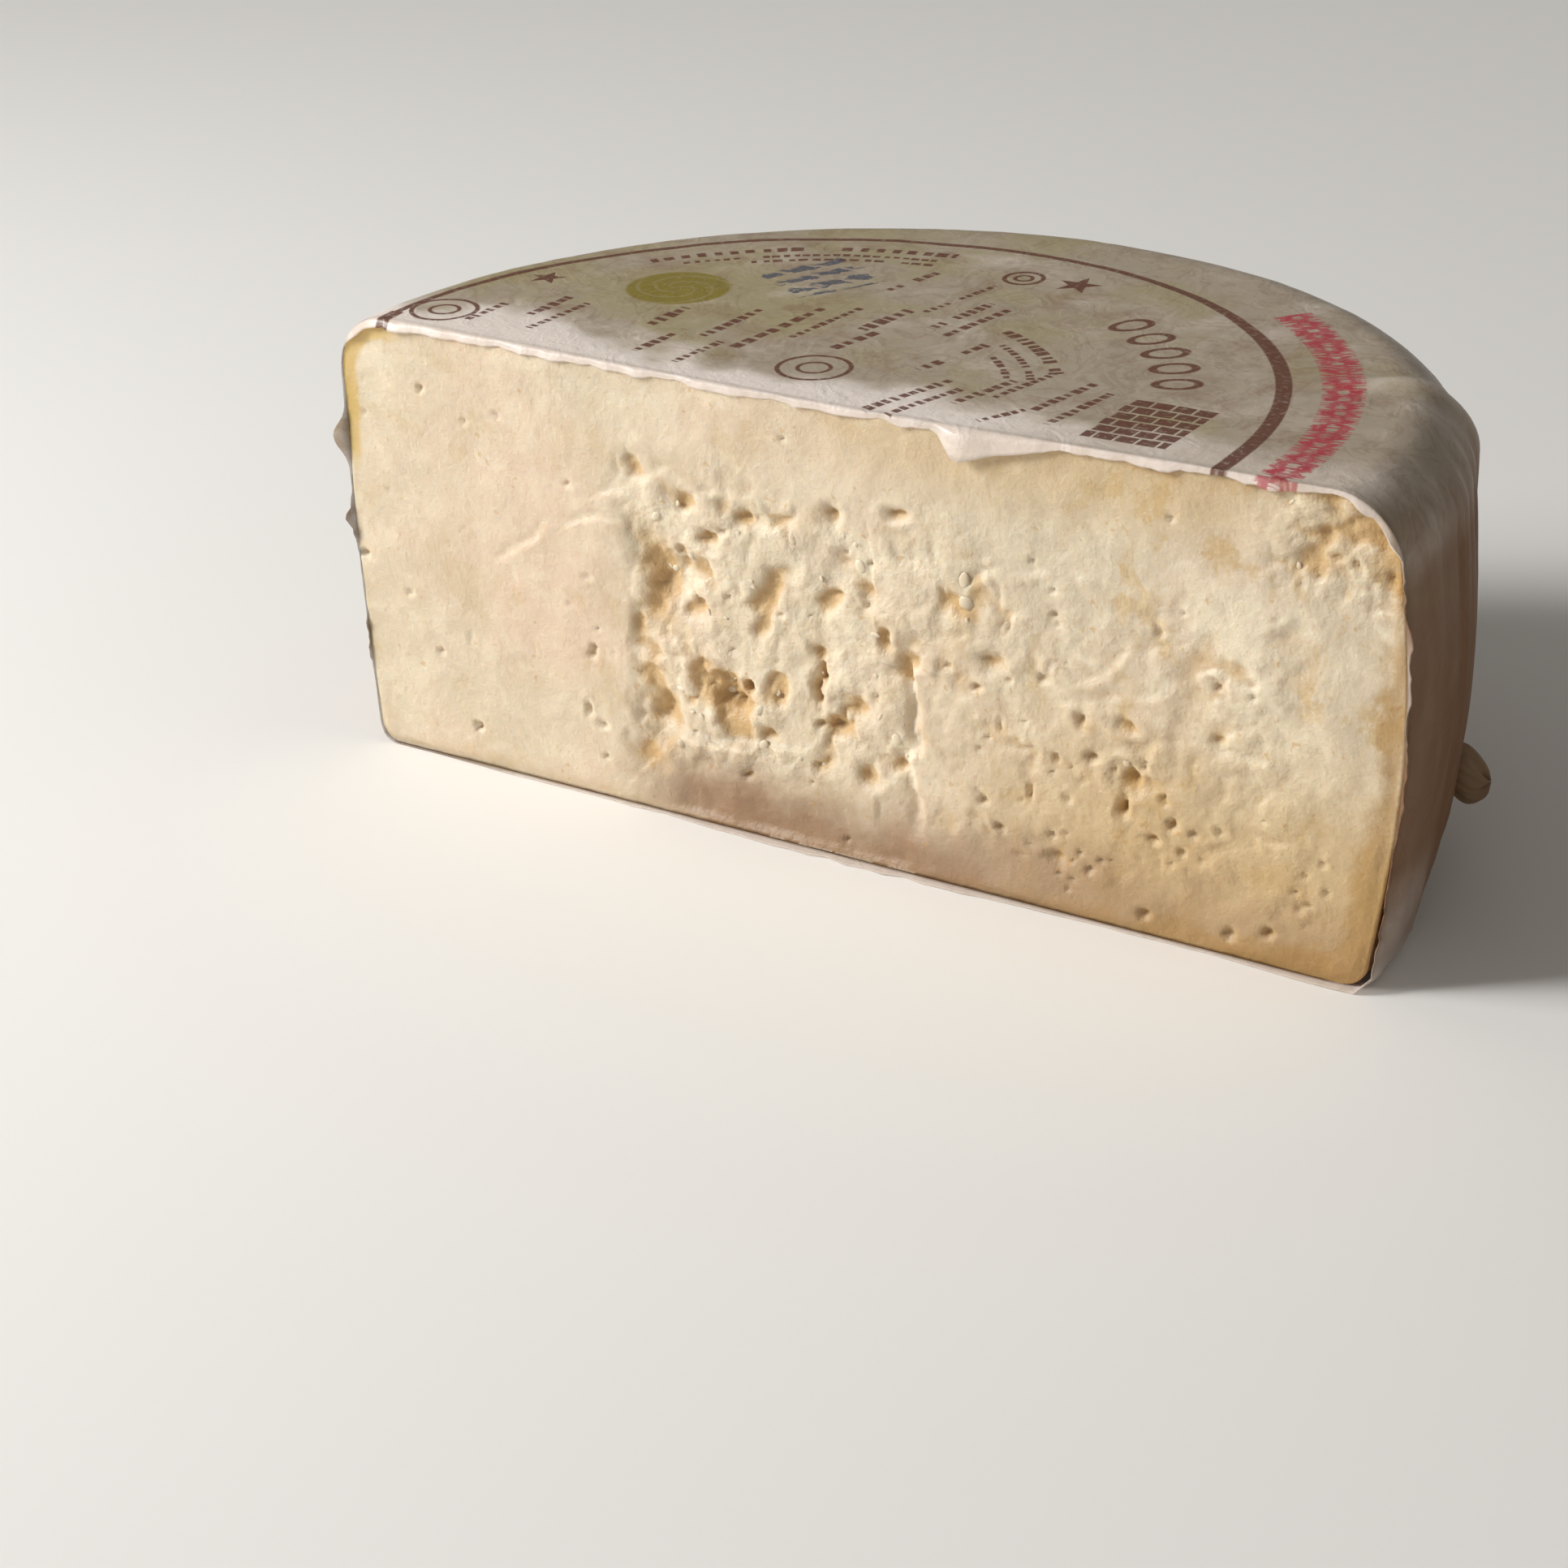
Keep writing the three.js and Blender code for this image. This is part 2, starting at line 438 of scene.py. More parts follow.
class Nodes:
    """One node tree, and the one way that nodes are added to it."""

    def __init__(self, tree):
        self.tree = tree

    def add(self, kind, settings=None, inputs=None, output=0):
        """Adds a node: its settings first, then its inputs, which are numbers, colours or Fields."""
        node = self.tree.nodes.new(kind)
        for key, value in (settings or {}).items():
            setattr(node, key, value)
        for key, value in (inputs or {}).items():
            socket = node.inputs[key]
            if isinstance(value, Field):
                self.tree.links.new(value.socket, socket)
            elif socket.type == "RGBA" and len(value) == 3:
                socket.default_value = (*value, 1)
            else:
                socket.default_value = value
        return Field(self, node.outputs[output]) if node.outputs else node

    def output(self, of, name):
        """Another output of the node that a Field comes from."""
        return Field(self, of.socket.node.outputs[name])

    def blend(self, share, first, second):
        """A mix of two colours."""
        inputs = {0: share, 6: first, 7: second}
        return self.add("ShaderNodeMix", {"data_type": "RGBA"}, inputs, output=2)

    def noise(self, place, scale, detail=3.0, roughness=0.55, distortion=0.0):
        inputs = {"Vector": place, "Scale": scale, "Detail": detail, "Roughness": roughness}
        return self.add("ShaderNodeTexNoise", None, {**inputs, "Distortion": distortion})

    def attribute(self, name):
        """In a material, a number that the piece's mesh stores at each point."""
        return self.output(self.add("ShaderNodeAttribute", {"attribute_name": name}), "Fac")

    def place(self):
        """In a material, where the shaded point is on its piece, with its x, y and z."""
        place = self.output(self.add("ShaderNodeTexCoord"), "Object")
        apart = self.add("ShaderNodeSeparateXYZ", None, {"Vector": place})
        return place, apart, self.output(apart, "Y"), self.output(apart, "Z")

    def flat(self, x, y):
        return self.add("ShaderNodeCombineXYZ", None, {"X": x, "Y": y})

    def bump(self, height, strength, distance):
        inputs = {"Strength": strength, "Distance": distance, "Height": height}
        return self.add("ShaderNodeBump", None, inputs)

    def vectors(self, operation, *inputs):
        """Vector maths. The last input of SCALE is a number."""
        named = {0: inputs[0], "Scale": inputs[1]} if operation == "SCALE" else dict(enumerate(inputs))
        return self.add("ShaderNodeVectorMath", {"operation": operation}, named)

    def named(self, name):
        """In a geometry tree, a number that the mesh stores at each point."""
        return self.add("GeometryNodeInputNamedAttribute", {"data_type": "FLOAT"}, {"Name": name})

    def store(self, geometry, name, value):
        settings = {"data_type": "FLOAT", "domain": "POINT"}
        inputs = {"Geometry": geometry, "Name": name, "Value": value}
        return self.add("GeometryNodeStoreNamedAttribute", settings, inputs)

    def sample(self, kind, geometry, value, index):
        """The value that the geometry has at the point with that index."""
        settings = {"data_type": kind, "domain": "POINT"}
        inputs = {"Geometry": geometry, "Value": value, "Index": index}
        return self.add("GeometryNodeSampleIndex", settings, inputs)

    def chance(self, kind, seed, output=0, **limits):
        """A different random value for each point."""
        return self.add("FunctionNodeRandomValue", {"data_type": kind}, {**limits, "Seed": seed}, output)


def new_material(name):
    """An empty material and its nodes."""
    material = bpy.data.materials.new(name)
    material.use_nodes = True
    material.node_tree.nodes.clear()
    return material, Nodes(material.node_tree)


def finish_material(nodes, **inputs):
    """Ends a material in one Principled shader with the inputs named here, _ standing for a space."""
    named = {key.replace("_", " "): value for key, value in inputs.items()}
    shader = nodes.add("ShaderNodeBsdfPrincipled", None, named)
    nodes.add("ShaderNodeOutputMaterial", None, {"Surface": shader})


# ---- The cut face's relief, in millimetres ----

# The part that the knife tore, and how far it is set back across its width, as (x, depth) pairs.
TORN_LEFT, TORN_RIGHT, TORN_BOTTOM, TORN_TOP = -41.0, 17.0, 9.0, 66.0
TORN_DEPTHS = (
    (-42.6, 0.0),
    (-39.6, 1.2),
    (-36.6, 2.1),
    (-33.6, 2.0),
    (-29.5, 0.9),
    (-24.0, 0.3),
    (-9.0, 0.7),
    (6.0, 0.5),
    (13.0, 0.9),
    (15.4, 2.0),
    (16.6, 1.2),
    (17.6, 0.1),
)

# How much of that depth the torn part's left edge has up its height, as (z, share) pairs.
LEFT_STEP = (
    (12.0, 0.4),
    (19.0, 1.0),
    (25.0, 0.5),
    (30.5, 0.1),
    (36.0, 0.7),
    (45.0, 1.15),
    (52.0, 0.5),
    (58.0, 0.2),
    (66.0, 0.0),
)

# Eyes and torn cavities that can be told apart: x, z, half width, half height, depth.
EYES = (
    (-22.6, 26.6, 5.6, 4.6, 5.2),
    (-20.4, 25.0, 3.2, 2.2, 7.6),
    (-18.0, 28.4, 1.6, 1.5, 6.4),
    (-26.4, 31.0, 3.4, 2.6, 2.2),
    (-2.6, 31.0, 1.5, 3.8, 3.6),
    (-2.2, 37.6, 2.4, 1.9, 2.0),
    (-1.6, 34.2, 0.9, 2.4, 3.4),
    (-16.4, 60.4, 3.3, 2.6, 2.6),
    (-24.6, 55.0, 2.8, 2.2, 2.6),
    (1.1, 64.2, 2.0, 2.4, 2.0),
    (14.4, 67.0, 2.4, 1.7, 2.0),
    (-40.0, 66.8, 3.0, 2.8, 1.3),
    (-29.0, 61.2, 2.4, 2.8, 1.6),
    (3.6, 56.2, 2.8, 2.4, 1.4),
    (1.8, 49.8, 1.8, 1.2, 1.1),
    (-11.4, 49.4, 3.4, 2.8, 1.2),
    (-10.0, 43.5, 1.6, 0.8, 1.2),
    (11.2, 43.8, 1.6, 2.8, 2.2),
    (17.6, 40.0, 2.4, 1.3, 1.5),
    (4.6, 29.2, 3.8, 3.4, 2.4),
    (0.0, 24.2, 2.6, 1.5, 2.2),
    (-13.6, 20.2, 2.6, 1.8, 2.0),
    (-1.2, 17.0, 2.8, 2.2, 1.6),
    (6.8, 16.8, 2.6, 3.0, 1.9),
    (13.2, 20.4, 1.5, 1.7, 1.4),
    (-34.6, 45.6, 3.6, 4.8, 1.8),
    (-37.0, 39.4, 3.2, 3.6, 1.4),
    (-36.6, 20.6, 3.6, 5.6, 1.6),
    (-30.0, 49.8, 1.6, 2.6, 1.4),
    (32.6, 43.2, 2.8, 2.6, 1.7),
    (26.4, 48.0, 1.2, 1.6, 0.9),
    (49.8, 36.6, 1.6, 2.4, 1.6),
    (57.2, 37.4, 2.7, 1.3, 1.6),
    (58.4, 27.6, 3.6, 2.8, 3.0),
    (57.2, 22.4, 1.4, 2.8, 4.2),
    (62.4, 17.4, 1.8, 1.0, 1.6),
    (74.9, 21.9, 1.1, 1.1, 1.5),
    (39.4, 21.2, 0.8, 1.7, 1.5),
    (47.2, 21.8, 1.3, 1.3, 1.1),
    (46.6, 15.4, 1.2, 0.8, 1.2),
    (61.0, 13.6, 0.8, 0.7, 1.0),
    (69.2, 13.4, 0.7, 0.7, 1.0),
    (44.8, 10.0, 2.3, 1.5, 1.5),
    (38.2, 9.6, 1.5, 0.9, 1.0),
    (52.8, 10.2, 0.7, 0.7, 0.8),
    (34.2, 32.0, 0.7, 1.8, 1.3),
    (74.2, 38.2, 1.5, 0.9, 1.3),
    (80.0, 35.3, 0.9, 0.6, 0.9),
    (63.4, 55.4, 1.1, 1.0, 1.4),
    (81.0, 50.2, 1.4, 0.9, 1.1),
    (91.0, 46.8, 0.7, 1.1, 1.0),
    (68.6, 53.8, 1.3, 0.8, 0.8),
    (43.6, 43.6, 0.9, 2.2, 1.0),
    (-69.4, 70.4, 1.6, 0.9, 0.8),
    (-89.4, 61.2, 0.7, 0.7, 0.6),
    (-78.2, 47.2, 0.8, 0.8, 1.0),
    (-50.8, 42.8, 1.5, 0.7, 1.1),
    (-92.2, 32.4, 1.4, 1.0, 1.0),
    (-78.8, 25.8, 1.0, 1.3, 0.9),
    (-45.8, 29.6, 0.8, 0.7, 1.1),
    (-52.6, 17.2, 0.9, 2.2, 1.4),
    (-49.6, 14.8, 1.4, 1.0, 1.5),
    (92.4, 77.4, 1.3, 1.8, 1.0),
    (94.6, 74.2, 1.4, 0.9, 1.1),
    (97.8, 73.4, 1.0, 1.9, 1.3),
    (91.4, 70.8, 1.6, 0.9, 1.1),
    (88.6, 68.6, 0.8, 1.3, 0.9),
    (99.6, 69.8, 1.3, 0.8, 1.1),
    (96.0, 79.8, 0.7, 1.2, 0.8),
)

# Edges where the knife lifted a thin layer: the line, how far it stands out, and how far back it fades.
# The lifted layer is on the right of the line's run.
LIFTED_EDGES = (
    (((-68.0, 44.6), (-61.6, 48.2), (-59.2, 52.0), (-52.6, 53.2), (-46.0, 55.0)), 0.45, 3.2),
    (((26.0, 52.4), (29.4, 57.6), (35.0, 60.8), (44.4, 62.0)), 0.9, 5.0),
    (((42.0, 45.4), (48.6, 43.0), (54.0, 45.0), (56.2, 48.2)), 0.45, 2.6),
    (((47.5, 39.0), (56.0, 41.2), (64.0, 44.0)), 0.45, 2.4),
    (((61.6, 31.4), (63.4, 35.0), (72.0, 36.2), (83.0, 35.2)), 0.55, 3.4),
    (((-39.0, 9.6), (-34.0, 15.2), (-25.0, 15.6), (-13.0, 17.6)), 1.4, 5.0),
    (((-39.5, 30.2), (-33.0, 31.6), (-28.2, 31.4)), 0.9, 2.2),
    (((-45.0, 60.4), (-38.0, 63.0), (-33.0, 66.4)), 0.6, 3.0),
    (((20.0, 66.0), (20.6, 58.0), (24.0, 52.0)), 0.3, 3.0),
)


def torn_share(x, z):
    """How much the knife tore the curd here, from 0, cut smooth, to 1."""
    ragged = 2.4 * rough(x, z, 9, 3)
    above = smooth(38, 50, z)
    right = TORN_RIGHT + 15 * above
    middle = smooth(TORN_LEFT - 1.5, TORN_LEFT + 1.5, x + 0.7 * ragged + 3 * smooth(48, 62, z))
    middle *= 1 - smooth(right - 1 - 8 * above, right + 1 + 8 * above, x + 0.5 * ragged)
    middle *= smooth(TORN_BOTTOM + 1, TORN_BOTTOM + 8, z + ragged - 0.12 * x)
    middle *= 1 - smooth(TORN_TOP - 9, TORN_TOP + 7, z + 2.5 * ragged)
    corner = smooth(74, 92, x + 2 * ragged) * smooth(58, 74, z + 2 * ragged)
    smeared = 0.7 * patch(x, z, 36, 48, 13, 12)
    crumbled = patch(x, z, 57, 27, 9, 10)
    pitted = 0.55 * smooth(17, 22, x) * (1 - smooth(88, 98, x)) * smooth(4, 12, z) * (1 - smooth(56, 68, z))
    pitted *= 0.75 + 0.6 * rough(x, z, 15, 24)
    return np.clip(np.maximum.reduce([middle, 0.9 * corner, smeared, crumbled, pitted]), 0, 1)


def creases(x, z, size, seed):
    """1 in the bent creases between soft lumps about size across, falling to 0 on the lumps."""
    bent_x = x + 0.35 * size * waves(x, z, 0.8 * size, seed + 0.3)
    bent_z = z + 0.35 * size * waves(x, z, 0.8 * size, seed + 0.6)
    return np.clip(1 - 2.6 * np.abs(rough(bent_x, bent_z, size, seed, 2)), 0, 1)


def eyes_at(x, z):
    """How deep the listed eyes go, with ragged walls and a low rim round each."""
    bent_x = x + 1.1 * rough(x, z, 4.2, 31)
    bent_z = z + 1.1 * rough(x, z, 4.2, 36)
    wander = 0.30 * rough(x, z, 2.2, 32)
    floor = 0.85 + 0.45 * rough(x, z, 2.0, 33)
    depth, rims = np.zeros_like(x), np.zeros_like(x)
    for ex, ez, half_width, half_height, deep in EYES:
        near = (np.abs(x - ex) < 2 * half_width + 1.5) & (np.abs(z - ez) < 2 * half_height + 1.5)
        away = np.hypot((bent_x[near] - ex) / half_width, (bent_z[near] - ez) / half_height) + wander[near]
        bowl = 0.55 * (1 - smooth(0, 1.35, away)) + 0.45 * (1 - smooth(0.15, 0.8, away))
        bowl *= smooth(0.2, 3.4, half_width + half_height)
        depth[near] = np.maximum(depth[near], deep * floor[near] * bowl)
        rims[near] = np.maximum(rims[near], 0.08 * min(deep, 2.5) * hump(away, 1.5, 0.3))
    return depth, rims


def lifted_at(x, z):
    """How far the lifted layers stand out of the face, less the groove in front of each edge."""
    out = np.zeros_like(x)
    bent = 2.0 * rough(x, z, 7, 51)
    kept = smooth(-0.5, 0.35, rough(x, z, 8, 53))
    for line, height, fade in LIFTED_EDGES:
        away, signed = from_line(x + bent, z + bent, line)
        fading = np.exp(-np.clip(signed, 0, None) / fade) * smooth(4, 3, away / fade)
        groove = 0.45 * hump(signed, -1.1, 0.9) * (away < 4)
        out += kept * height * (smooth(-0.9, 0.9, signed) * fading - groove)
    return out


def cut_relief(x, z):
    """The cut face at x, z in mm: how deep it lies behind the knife's plane, how torn it is, and how hollow
    it is there, which is how far it lies below its own surroundings, with some painted shade and painted
    shadow added. The paste's material turns the paste darker golden by that."""
    torn = torn_share(x, z)
    ragged = 4.4 * rough(x, z, 11, 5, 2) + 2.0 * rough(x, z, 3.6, 27)
    back = np.interp(x + ragged, *zip(*TORN_DEPTHS))
    back = back * np.where(x < -24, np.interp(z + ragged, *zip(*LEFT_STEP)), 1)
    envelope = smooth(9, 16, z - 0.1 * x) * (1 - smooth(50, 70, z + 3 * rough(x, z, 10, 8)))
    groove = np.where(x > 9, (1 - smooth(36, 46, z)) * smooth(6, 12, z), envelope)
    recess = back * groove * (0.85 + 0.4 * rough(x, z, 12, 6))
    broad, small = creases(x, z, 9.5, 9), creases(x, z, 4.6, 12)
    holes = smooth(0.05, 0.5, rough(x, z, 6.5, 14, 2)) * smooth(0.25, 0.8, np.maximum(broad, small))
    crumbly = smooth(0.0, 0.6, rough(x, z, 2.4, 34, 4)) * smooth(76, 88, x) * smooth(60, 70, z)
    lumps = 0.55 * crumbly + 0.6 * broad + 0.35 * small + 0.85 * rough(x, z, 10, 13, 3) + 1.1 * holes
    eyes, rims = eyes_at(x, z)
    knife = 0.5 * rough(x, z, 34, 2) + 0.10 * rough(x * 0.3, z, 2.6, 18) + 0.09 * rough(x, z, 3.2, 19)
    knife += (0.3 + 0.35 * smooth(20, 36, x)) * rough(x, z, 13, 20) + 0.05 * rough(x, z, 1.5, 28)
    bottom_band = smooth(13, 3, z + ragged / 4) * smooth(-44, -30, x + ragged) * (1 - smooth(10, 19, x + ragged))
    bottom_band *= 1 + 0.7 * rough(x, z, 7, 29)
    depth = knife + recess + bottom_band + 0.88 * torn * lumps + 0.85 * eyes - rims - lifted_at(x, z)
    hollow = eyes + torn * (0.4 * broad + 0.3 * small + 1.7 * holes + 1.1 * crumbly)
    hollow += 0.6 * patch(x, z, 94, 73, 6, 4)
    # Painted shadow: a darker golden wedge at the bottom left, where the cheese meets the floor.
    hollow += 0.8 * patch(x + ragged, z - ragged / 3, -39, 9, 4, 3.5)
    # Painted shade: the recess at the torn part's left step turns darker golden.
    hollow += 0.95 * recess * smooth(-30, -36, x) * (0.9 + 1.2 * rough(x, z, 5, 25))
    return depth, torn, hollow


def pitted_share(x, z):
    """Where the scattered small eyes are: most in the lower right, few in the smooth left."""
    right = smooth(18, 34, x) * (1 - smooth(50, 64, z)) * (1 - smooth(88, 99, x))
    near_crumbs = patch(x, z, 57, 27, 12, 13)
    left = 0.14 * (1 - smooth(-50, -38, x))
    torn = 0.45 * smooth(-38, -30, x) * (1 - smooth(10, 18, x)) * (1 - smooth(52, 68, z))
    share = np.maximum.reduce([0.5 * right, left, torn, 1.2 * near_crumbs]) + 0.04
    return np.clip(share * (0.7 + 1.1 * rough(x, z, 12, 41)), 0, 1.5)


# ---- The cheese ----


def cut_grid(wheel, grow, spacing):
    """The cut face as (rows, columns) arrays of x and z in metres, its outline on the wheel's section,
    and the shares of its bottom and top rows, which the wheel's flat bottom and top repeat."""
    rows = int(1.09 * wheel.height / spacing)
    half = int(wheel.radius / spacing)
    radius, height = side_outline(wheel, grow, rows)
    edge = np.sqrt(radius**2 - wheel.cut_offset**2)
    across = np.linspace(-1, 1, 2 * half + 1)
    up = np.linspace(0, 1, rows)[:, None]
    outer = smooth(0.7, 1, np.abs(across))
    x = across * ((1 - outer) * wheel.radius + outer * edge[:, None])
    top = top_height(x[-1], CUT_Y, wheel, grow)
    even = -grow + up * (top + grow)
    z = (1 - outer) * even + outer * height[:, None]
    z[-1] = top
    shares = [x[row, half:] / x[row, -1] for row in (0, -1)]
    return x, z, shares


def cheese_base(wheel, settings):
    """The half wheel as one closed mesh with a plain cut face. Its side is fine near the cut only."""
    grow = settings.growth
    x, z, (bottom, top) = cut_grid(wheel, grow, settings.grid)
    rows, columns = x.shape
    inner = np.linspace(0.03, 1, 16) ** 1.4 / 2
    turns = math.pi * np.concatenate([[0, 0.003], inner, 1 - inner[-2::-1], [0.997, 1]])
    gx, gy, gz = wheel_grid(wheel, grow, turns, bottom, rows, top)
    on_cut = np.abs(gy - CUT_Y) < 1e-7
    outer = smooth(0.6, 1, np.abs(x) / x.max())
    uneven = uneven_side(x, np.full_like(x, CUT_Y), z, wheel) * np.sign(x) * outer
    side_x = gx[len(bottom) - 1 : len(bottom) - 1 + rows]
    x[:, -1], x[:, 0] = side_x[:, 0], side_x[:, -1]
    x[:, 1:-1] = (x + uneven)[:, 1:-1]
    cut = np.stack([x, np.full_like(x, CUT_Y), z], -1).reshape(-1, 3)
    outside = np.stack([gx, gy, gz], -1).reshape(-1, 3)
    flag = np.concatenate([np.ones(len(cut)), on_cut.ravel().astype(float)])
    points = np.concatenate([cut, outside]) + [0, 0, CHEESE_BOTTOM]
    faces = np.concatenate([grid_faces(rows, columns), grid_faces(*gx.shape, first=len(cut))])
    return closed_mesh("cheese", points, faces.tolist(), {"cut": flag})


def outline_distance(mesh, wheel, grow, on_cut):
    """How far in each point of the cut face is from the outline, in metres. 0 off the cut face."""
    radius, height = side_outline(wheel, grow, 90)
    edge, height = np.sqrt(radius**2 - wheel.cut_offset**2), height + CHEESE_BOTTOM
    points = places(mesh)[on_cut]
    x, z = np.abs(points[:, 0]), points[:, 2]
    near = np.minimum(z - height[0], height[-1] - z)
    for ex, ez in zip(edge, height):
        near = np.minimum(near, np.hypot(x - ex, z - ez))
    distance = np.zeros(len(mesh.vertices))
    distance[on_cut] = np.maximum(near, 0)
    return distance


def carve(mesh, wheel, settings):
    """Presses the relief into the cut face, and stores what the material and the scatters read."""
    on_cut = stored(mesh, "cut") > 0.5
    points = places(mesh)
    x, z = points[on_cut, 0] / MM, points[on_cut, 2] / MM
    depth, torn, hollow = cut_relief(x, z)
    inside = outline_distance(mesh, wheel, settings.growth, on_cut)
    ease = smooth(0, 2.0, inside[on_cut] / MM)
    points[on_cut, 1] += MM * (depth * ease + 0.12 * (1 - ease) * (1 + rough(x, z, 3, 61)))
    set_places(mesh, points)
    pitted = pitted_share(x, z) * smooth(1, 4, inside[on_cut] / MM)
    for name, values in (("torn", torn), ("hollow", hollow), ("pitted", pitted)):
        spread = np.zeros(len(mesh.vertices))
        spread[on_cut] = values
        number(mesh, name, spread)
    number(mesh, "inside", inside / MM)


# What a scatter's node tree is given besides the mesh, as (name, kind) pairs.
SCATTER_INPUTS = (
    ("Density", "Float"),
    ("Smallest", "Float"),
    ("Largest", "Float"),
    ("Seed", "Int"),
    ("Material", "Material"),
)


def scatter_tree(name):
    """A new geometry tree with a mesh in and a mesh out, its entry, and its named inputs as Fields."""
    tree = bpy.data.node_groups.new(name, "GeometryNodeTree")
    tree.interface.new_socket("Geometry", in_out="INPUT", socket_type="NodeSocketGeometry")
    tree.interface.new_socket("Geometry", in_out="OUTPUT", socket_type="NodeSocketGeometry")
    for label, kind in SCATTER_INPUTS:
        tree.interface.new_socket(label, in_out="INPUT", socket_type=f"NodeSocket{kind}")
    nodes = Nodes(tree)
    entry = nodes.add("NodeGroupInput")
    return nodes, entry, {label: nodes.output(entry, label) for label, _ in SCATTER_INPUTS}


def run_tree(name, mesh, nodes, *values):
    """Runs a scatter's tree on a mesh with its inputs' values, and returns the result as a plain mesh."""
    carrier = bpy.data.objects.new(name, mesh)
    bpy.context.scene.collection.objects.link(carrier)
    modifier = carrier.modifiers.new(name, "NODES")
    modifier.node_group = nodes.tree
    sockets = {s.name: s.identifier for s in nodes.tree.interface.items_tree if s.in_out == "INPUT"}
    for (label, _), value in zip(SCATTER_INPUTS, values):
        modifier[sockets[label]] = value
    depsgraph = bpy.context.evaluated_depsgraph_get()
    made = bpy.data.meshes.new_from_object(carrier.evaluated_get(depsgraph), depsgraph=depsgraph)
    carrier.modifiers.remove(modifier)
    bpy.data.objects.remove(carrier)
    return made


def scattered_points(nodes, surface, density_name, fields):
    """Points scattered on a surface, most where the named number is high, with a radius each. Most
    are near the smallest radius."""
    scatter = nodes.add(
        "GeometryNodeDistributePointsOnFaces",
        {"distribute_method": "RANDOM"},
        {"Mesh": surface, "Density": fields["Density"] * nodes.named(density_name), "Seed": fields["Seed"]},
    )
    chance = nodes.chance("FLOAT", fields["Seed"], output=1)
    radius = fields["Smallest"] + (fields["Largest"] - fields["Smallest"]) * chance * chance * chance
    return scatter, radius


def eye_tree():
    """Presses small eyes into the cut face: each point sinks towards +Y near a scattered centre."""
    nodes, entry, fields = scatter_tree("small_eyes")
    scatter, radius = scattered_points(nodes, entry, "pitted", fields)
    centres = nodes.store(scatter, "eye_radius", radius)
    nearest = nodes.add("GeometryNodeSampleNearest", {"domain": "POINT"}, {"Geometry": centres})
    place = nodes.add("GeometryNodeInputPosition")
    centre = nodes.sample("FLOAT_VECTOR", centres, place, nearest)
    reach = nodes.sample("FLOAT", centres, nodes.named("eye_radius"), nearest)
    on_face = nodes.vectors("MULTIPLY", nodes.vectors("SUBTRACT", place, centre), (1, 0, 1.2))
    away = nodes.output(nodes.vectors("LENGTH", on_face), "Value")
    away = away + (nodes.noise(place, 620.0, 2.0) - 0.5) * 0.0021
    depth = (away / reach).step(1.2, 0.1) * reach * 0.85 * nodes.named("cut").over(0.5)
    offset = nodes.add("ShaderNodeCombineXYZ", None, {"Y": depth})
    sunk = nodes.add("GeometryNodeSetPosition", None, {"Geometry": entry, "Offset": offset})
    # Each eye's depth is also added to the hollow number, which the paste's material turns darker golden:
    # partly the curd's tone in the eye, partly painted shade.
    end_tree(nodes, nodes.store(sunk, "hollow", nodes.named("hollow") + depth * (1 / MM)), fields)
    return nodes


def crumb_tree():
    """Sets flat lumps of curd on the torn parts of the cut face."""
    nodes, entry, fields = scatter_tree("curd_crumbs")
    scatter, radius = scattered_points(nodes, entry, "crumbly", fields)
    ball = nodes.add("GeometryNodeMeshIcoSphere", None, {"Radius": 1.0, "Subdivisions": 2})
    squash = nodes.chance("FLOAT_VECTOR", fields["Seed"], Min=(0.7, 0.22, 0.6), Max=(1.6, 0.45, 1.2))
    turn = nodes.chance("FLOAT_VECTOR", fields["Seed"], Min=(-0.2, -3.1, -0.2), Max=(0.2, 3.1, 0.2))
    size = nodes.vectors("SCALE", squash, radius)
    inputs = {"Points": scatter, "Instance": ball, "Rotation": turn, "Scale": size}
    end_tree(nodes, nodes.add("GeometryNodeInstanceOnPoints", None, inputs), fields)
    return nodes


def end_tree(nodes, geometry, fields):
    """Ends a geometry tree in real geometry that wears the material."""
    real = nodes.add("GeometryNodeRealizeInstances", None, {"Geometry": geometry})
    inputs = {"Geometry": real, "Material": fields["Material"]}
    nodes.add("NodeGroupOutput", None, {"Geometry": nodes.add("GeometryNodeSetMaterial", None, inputs)})


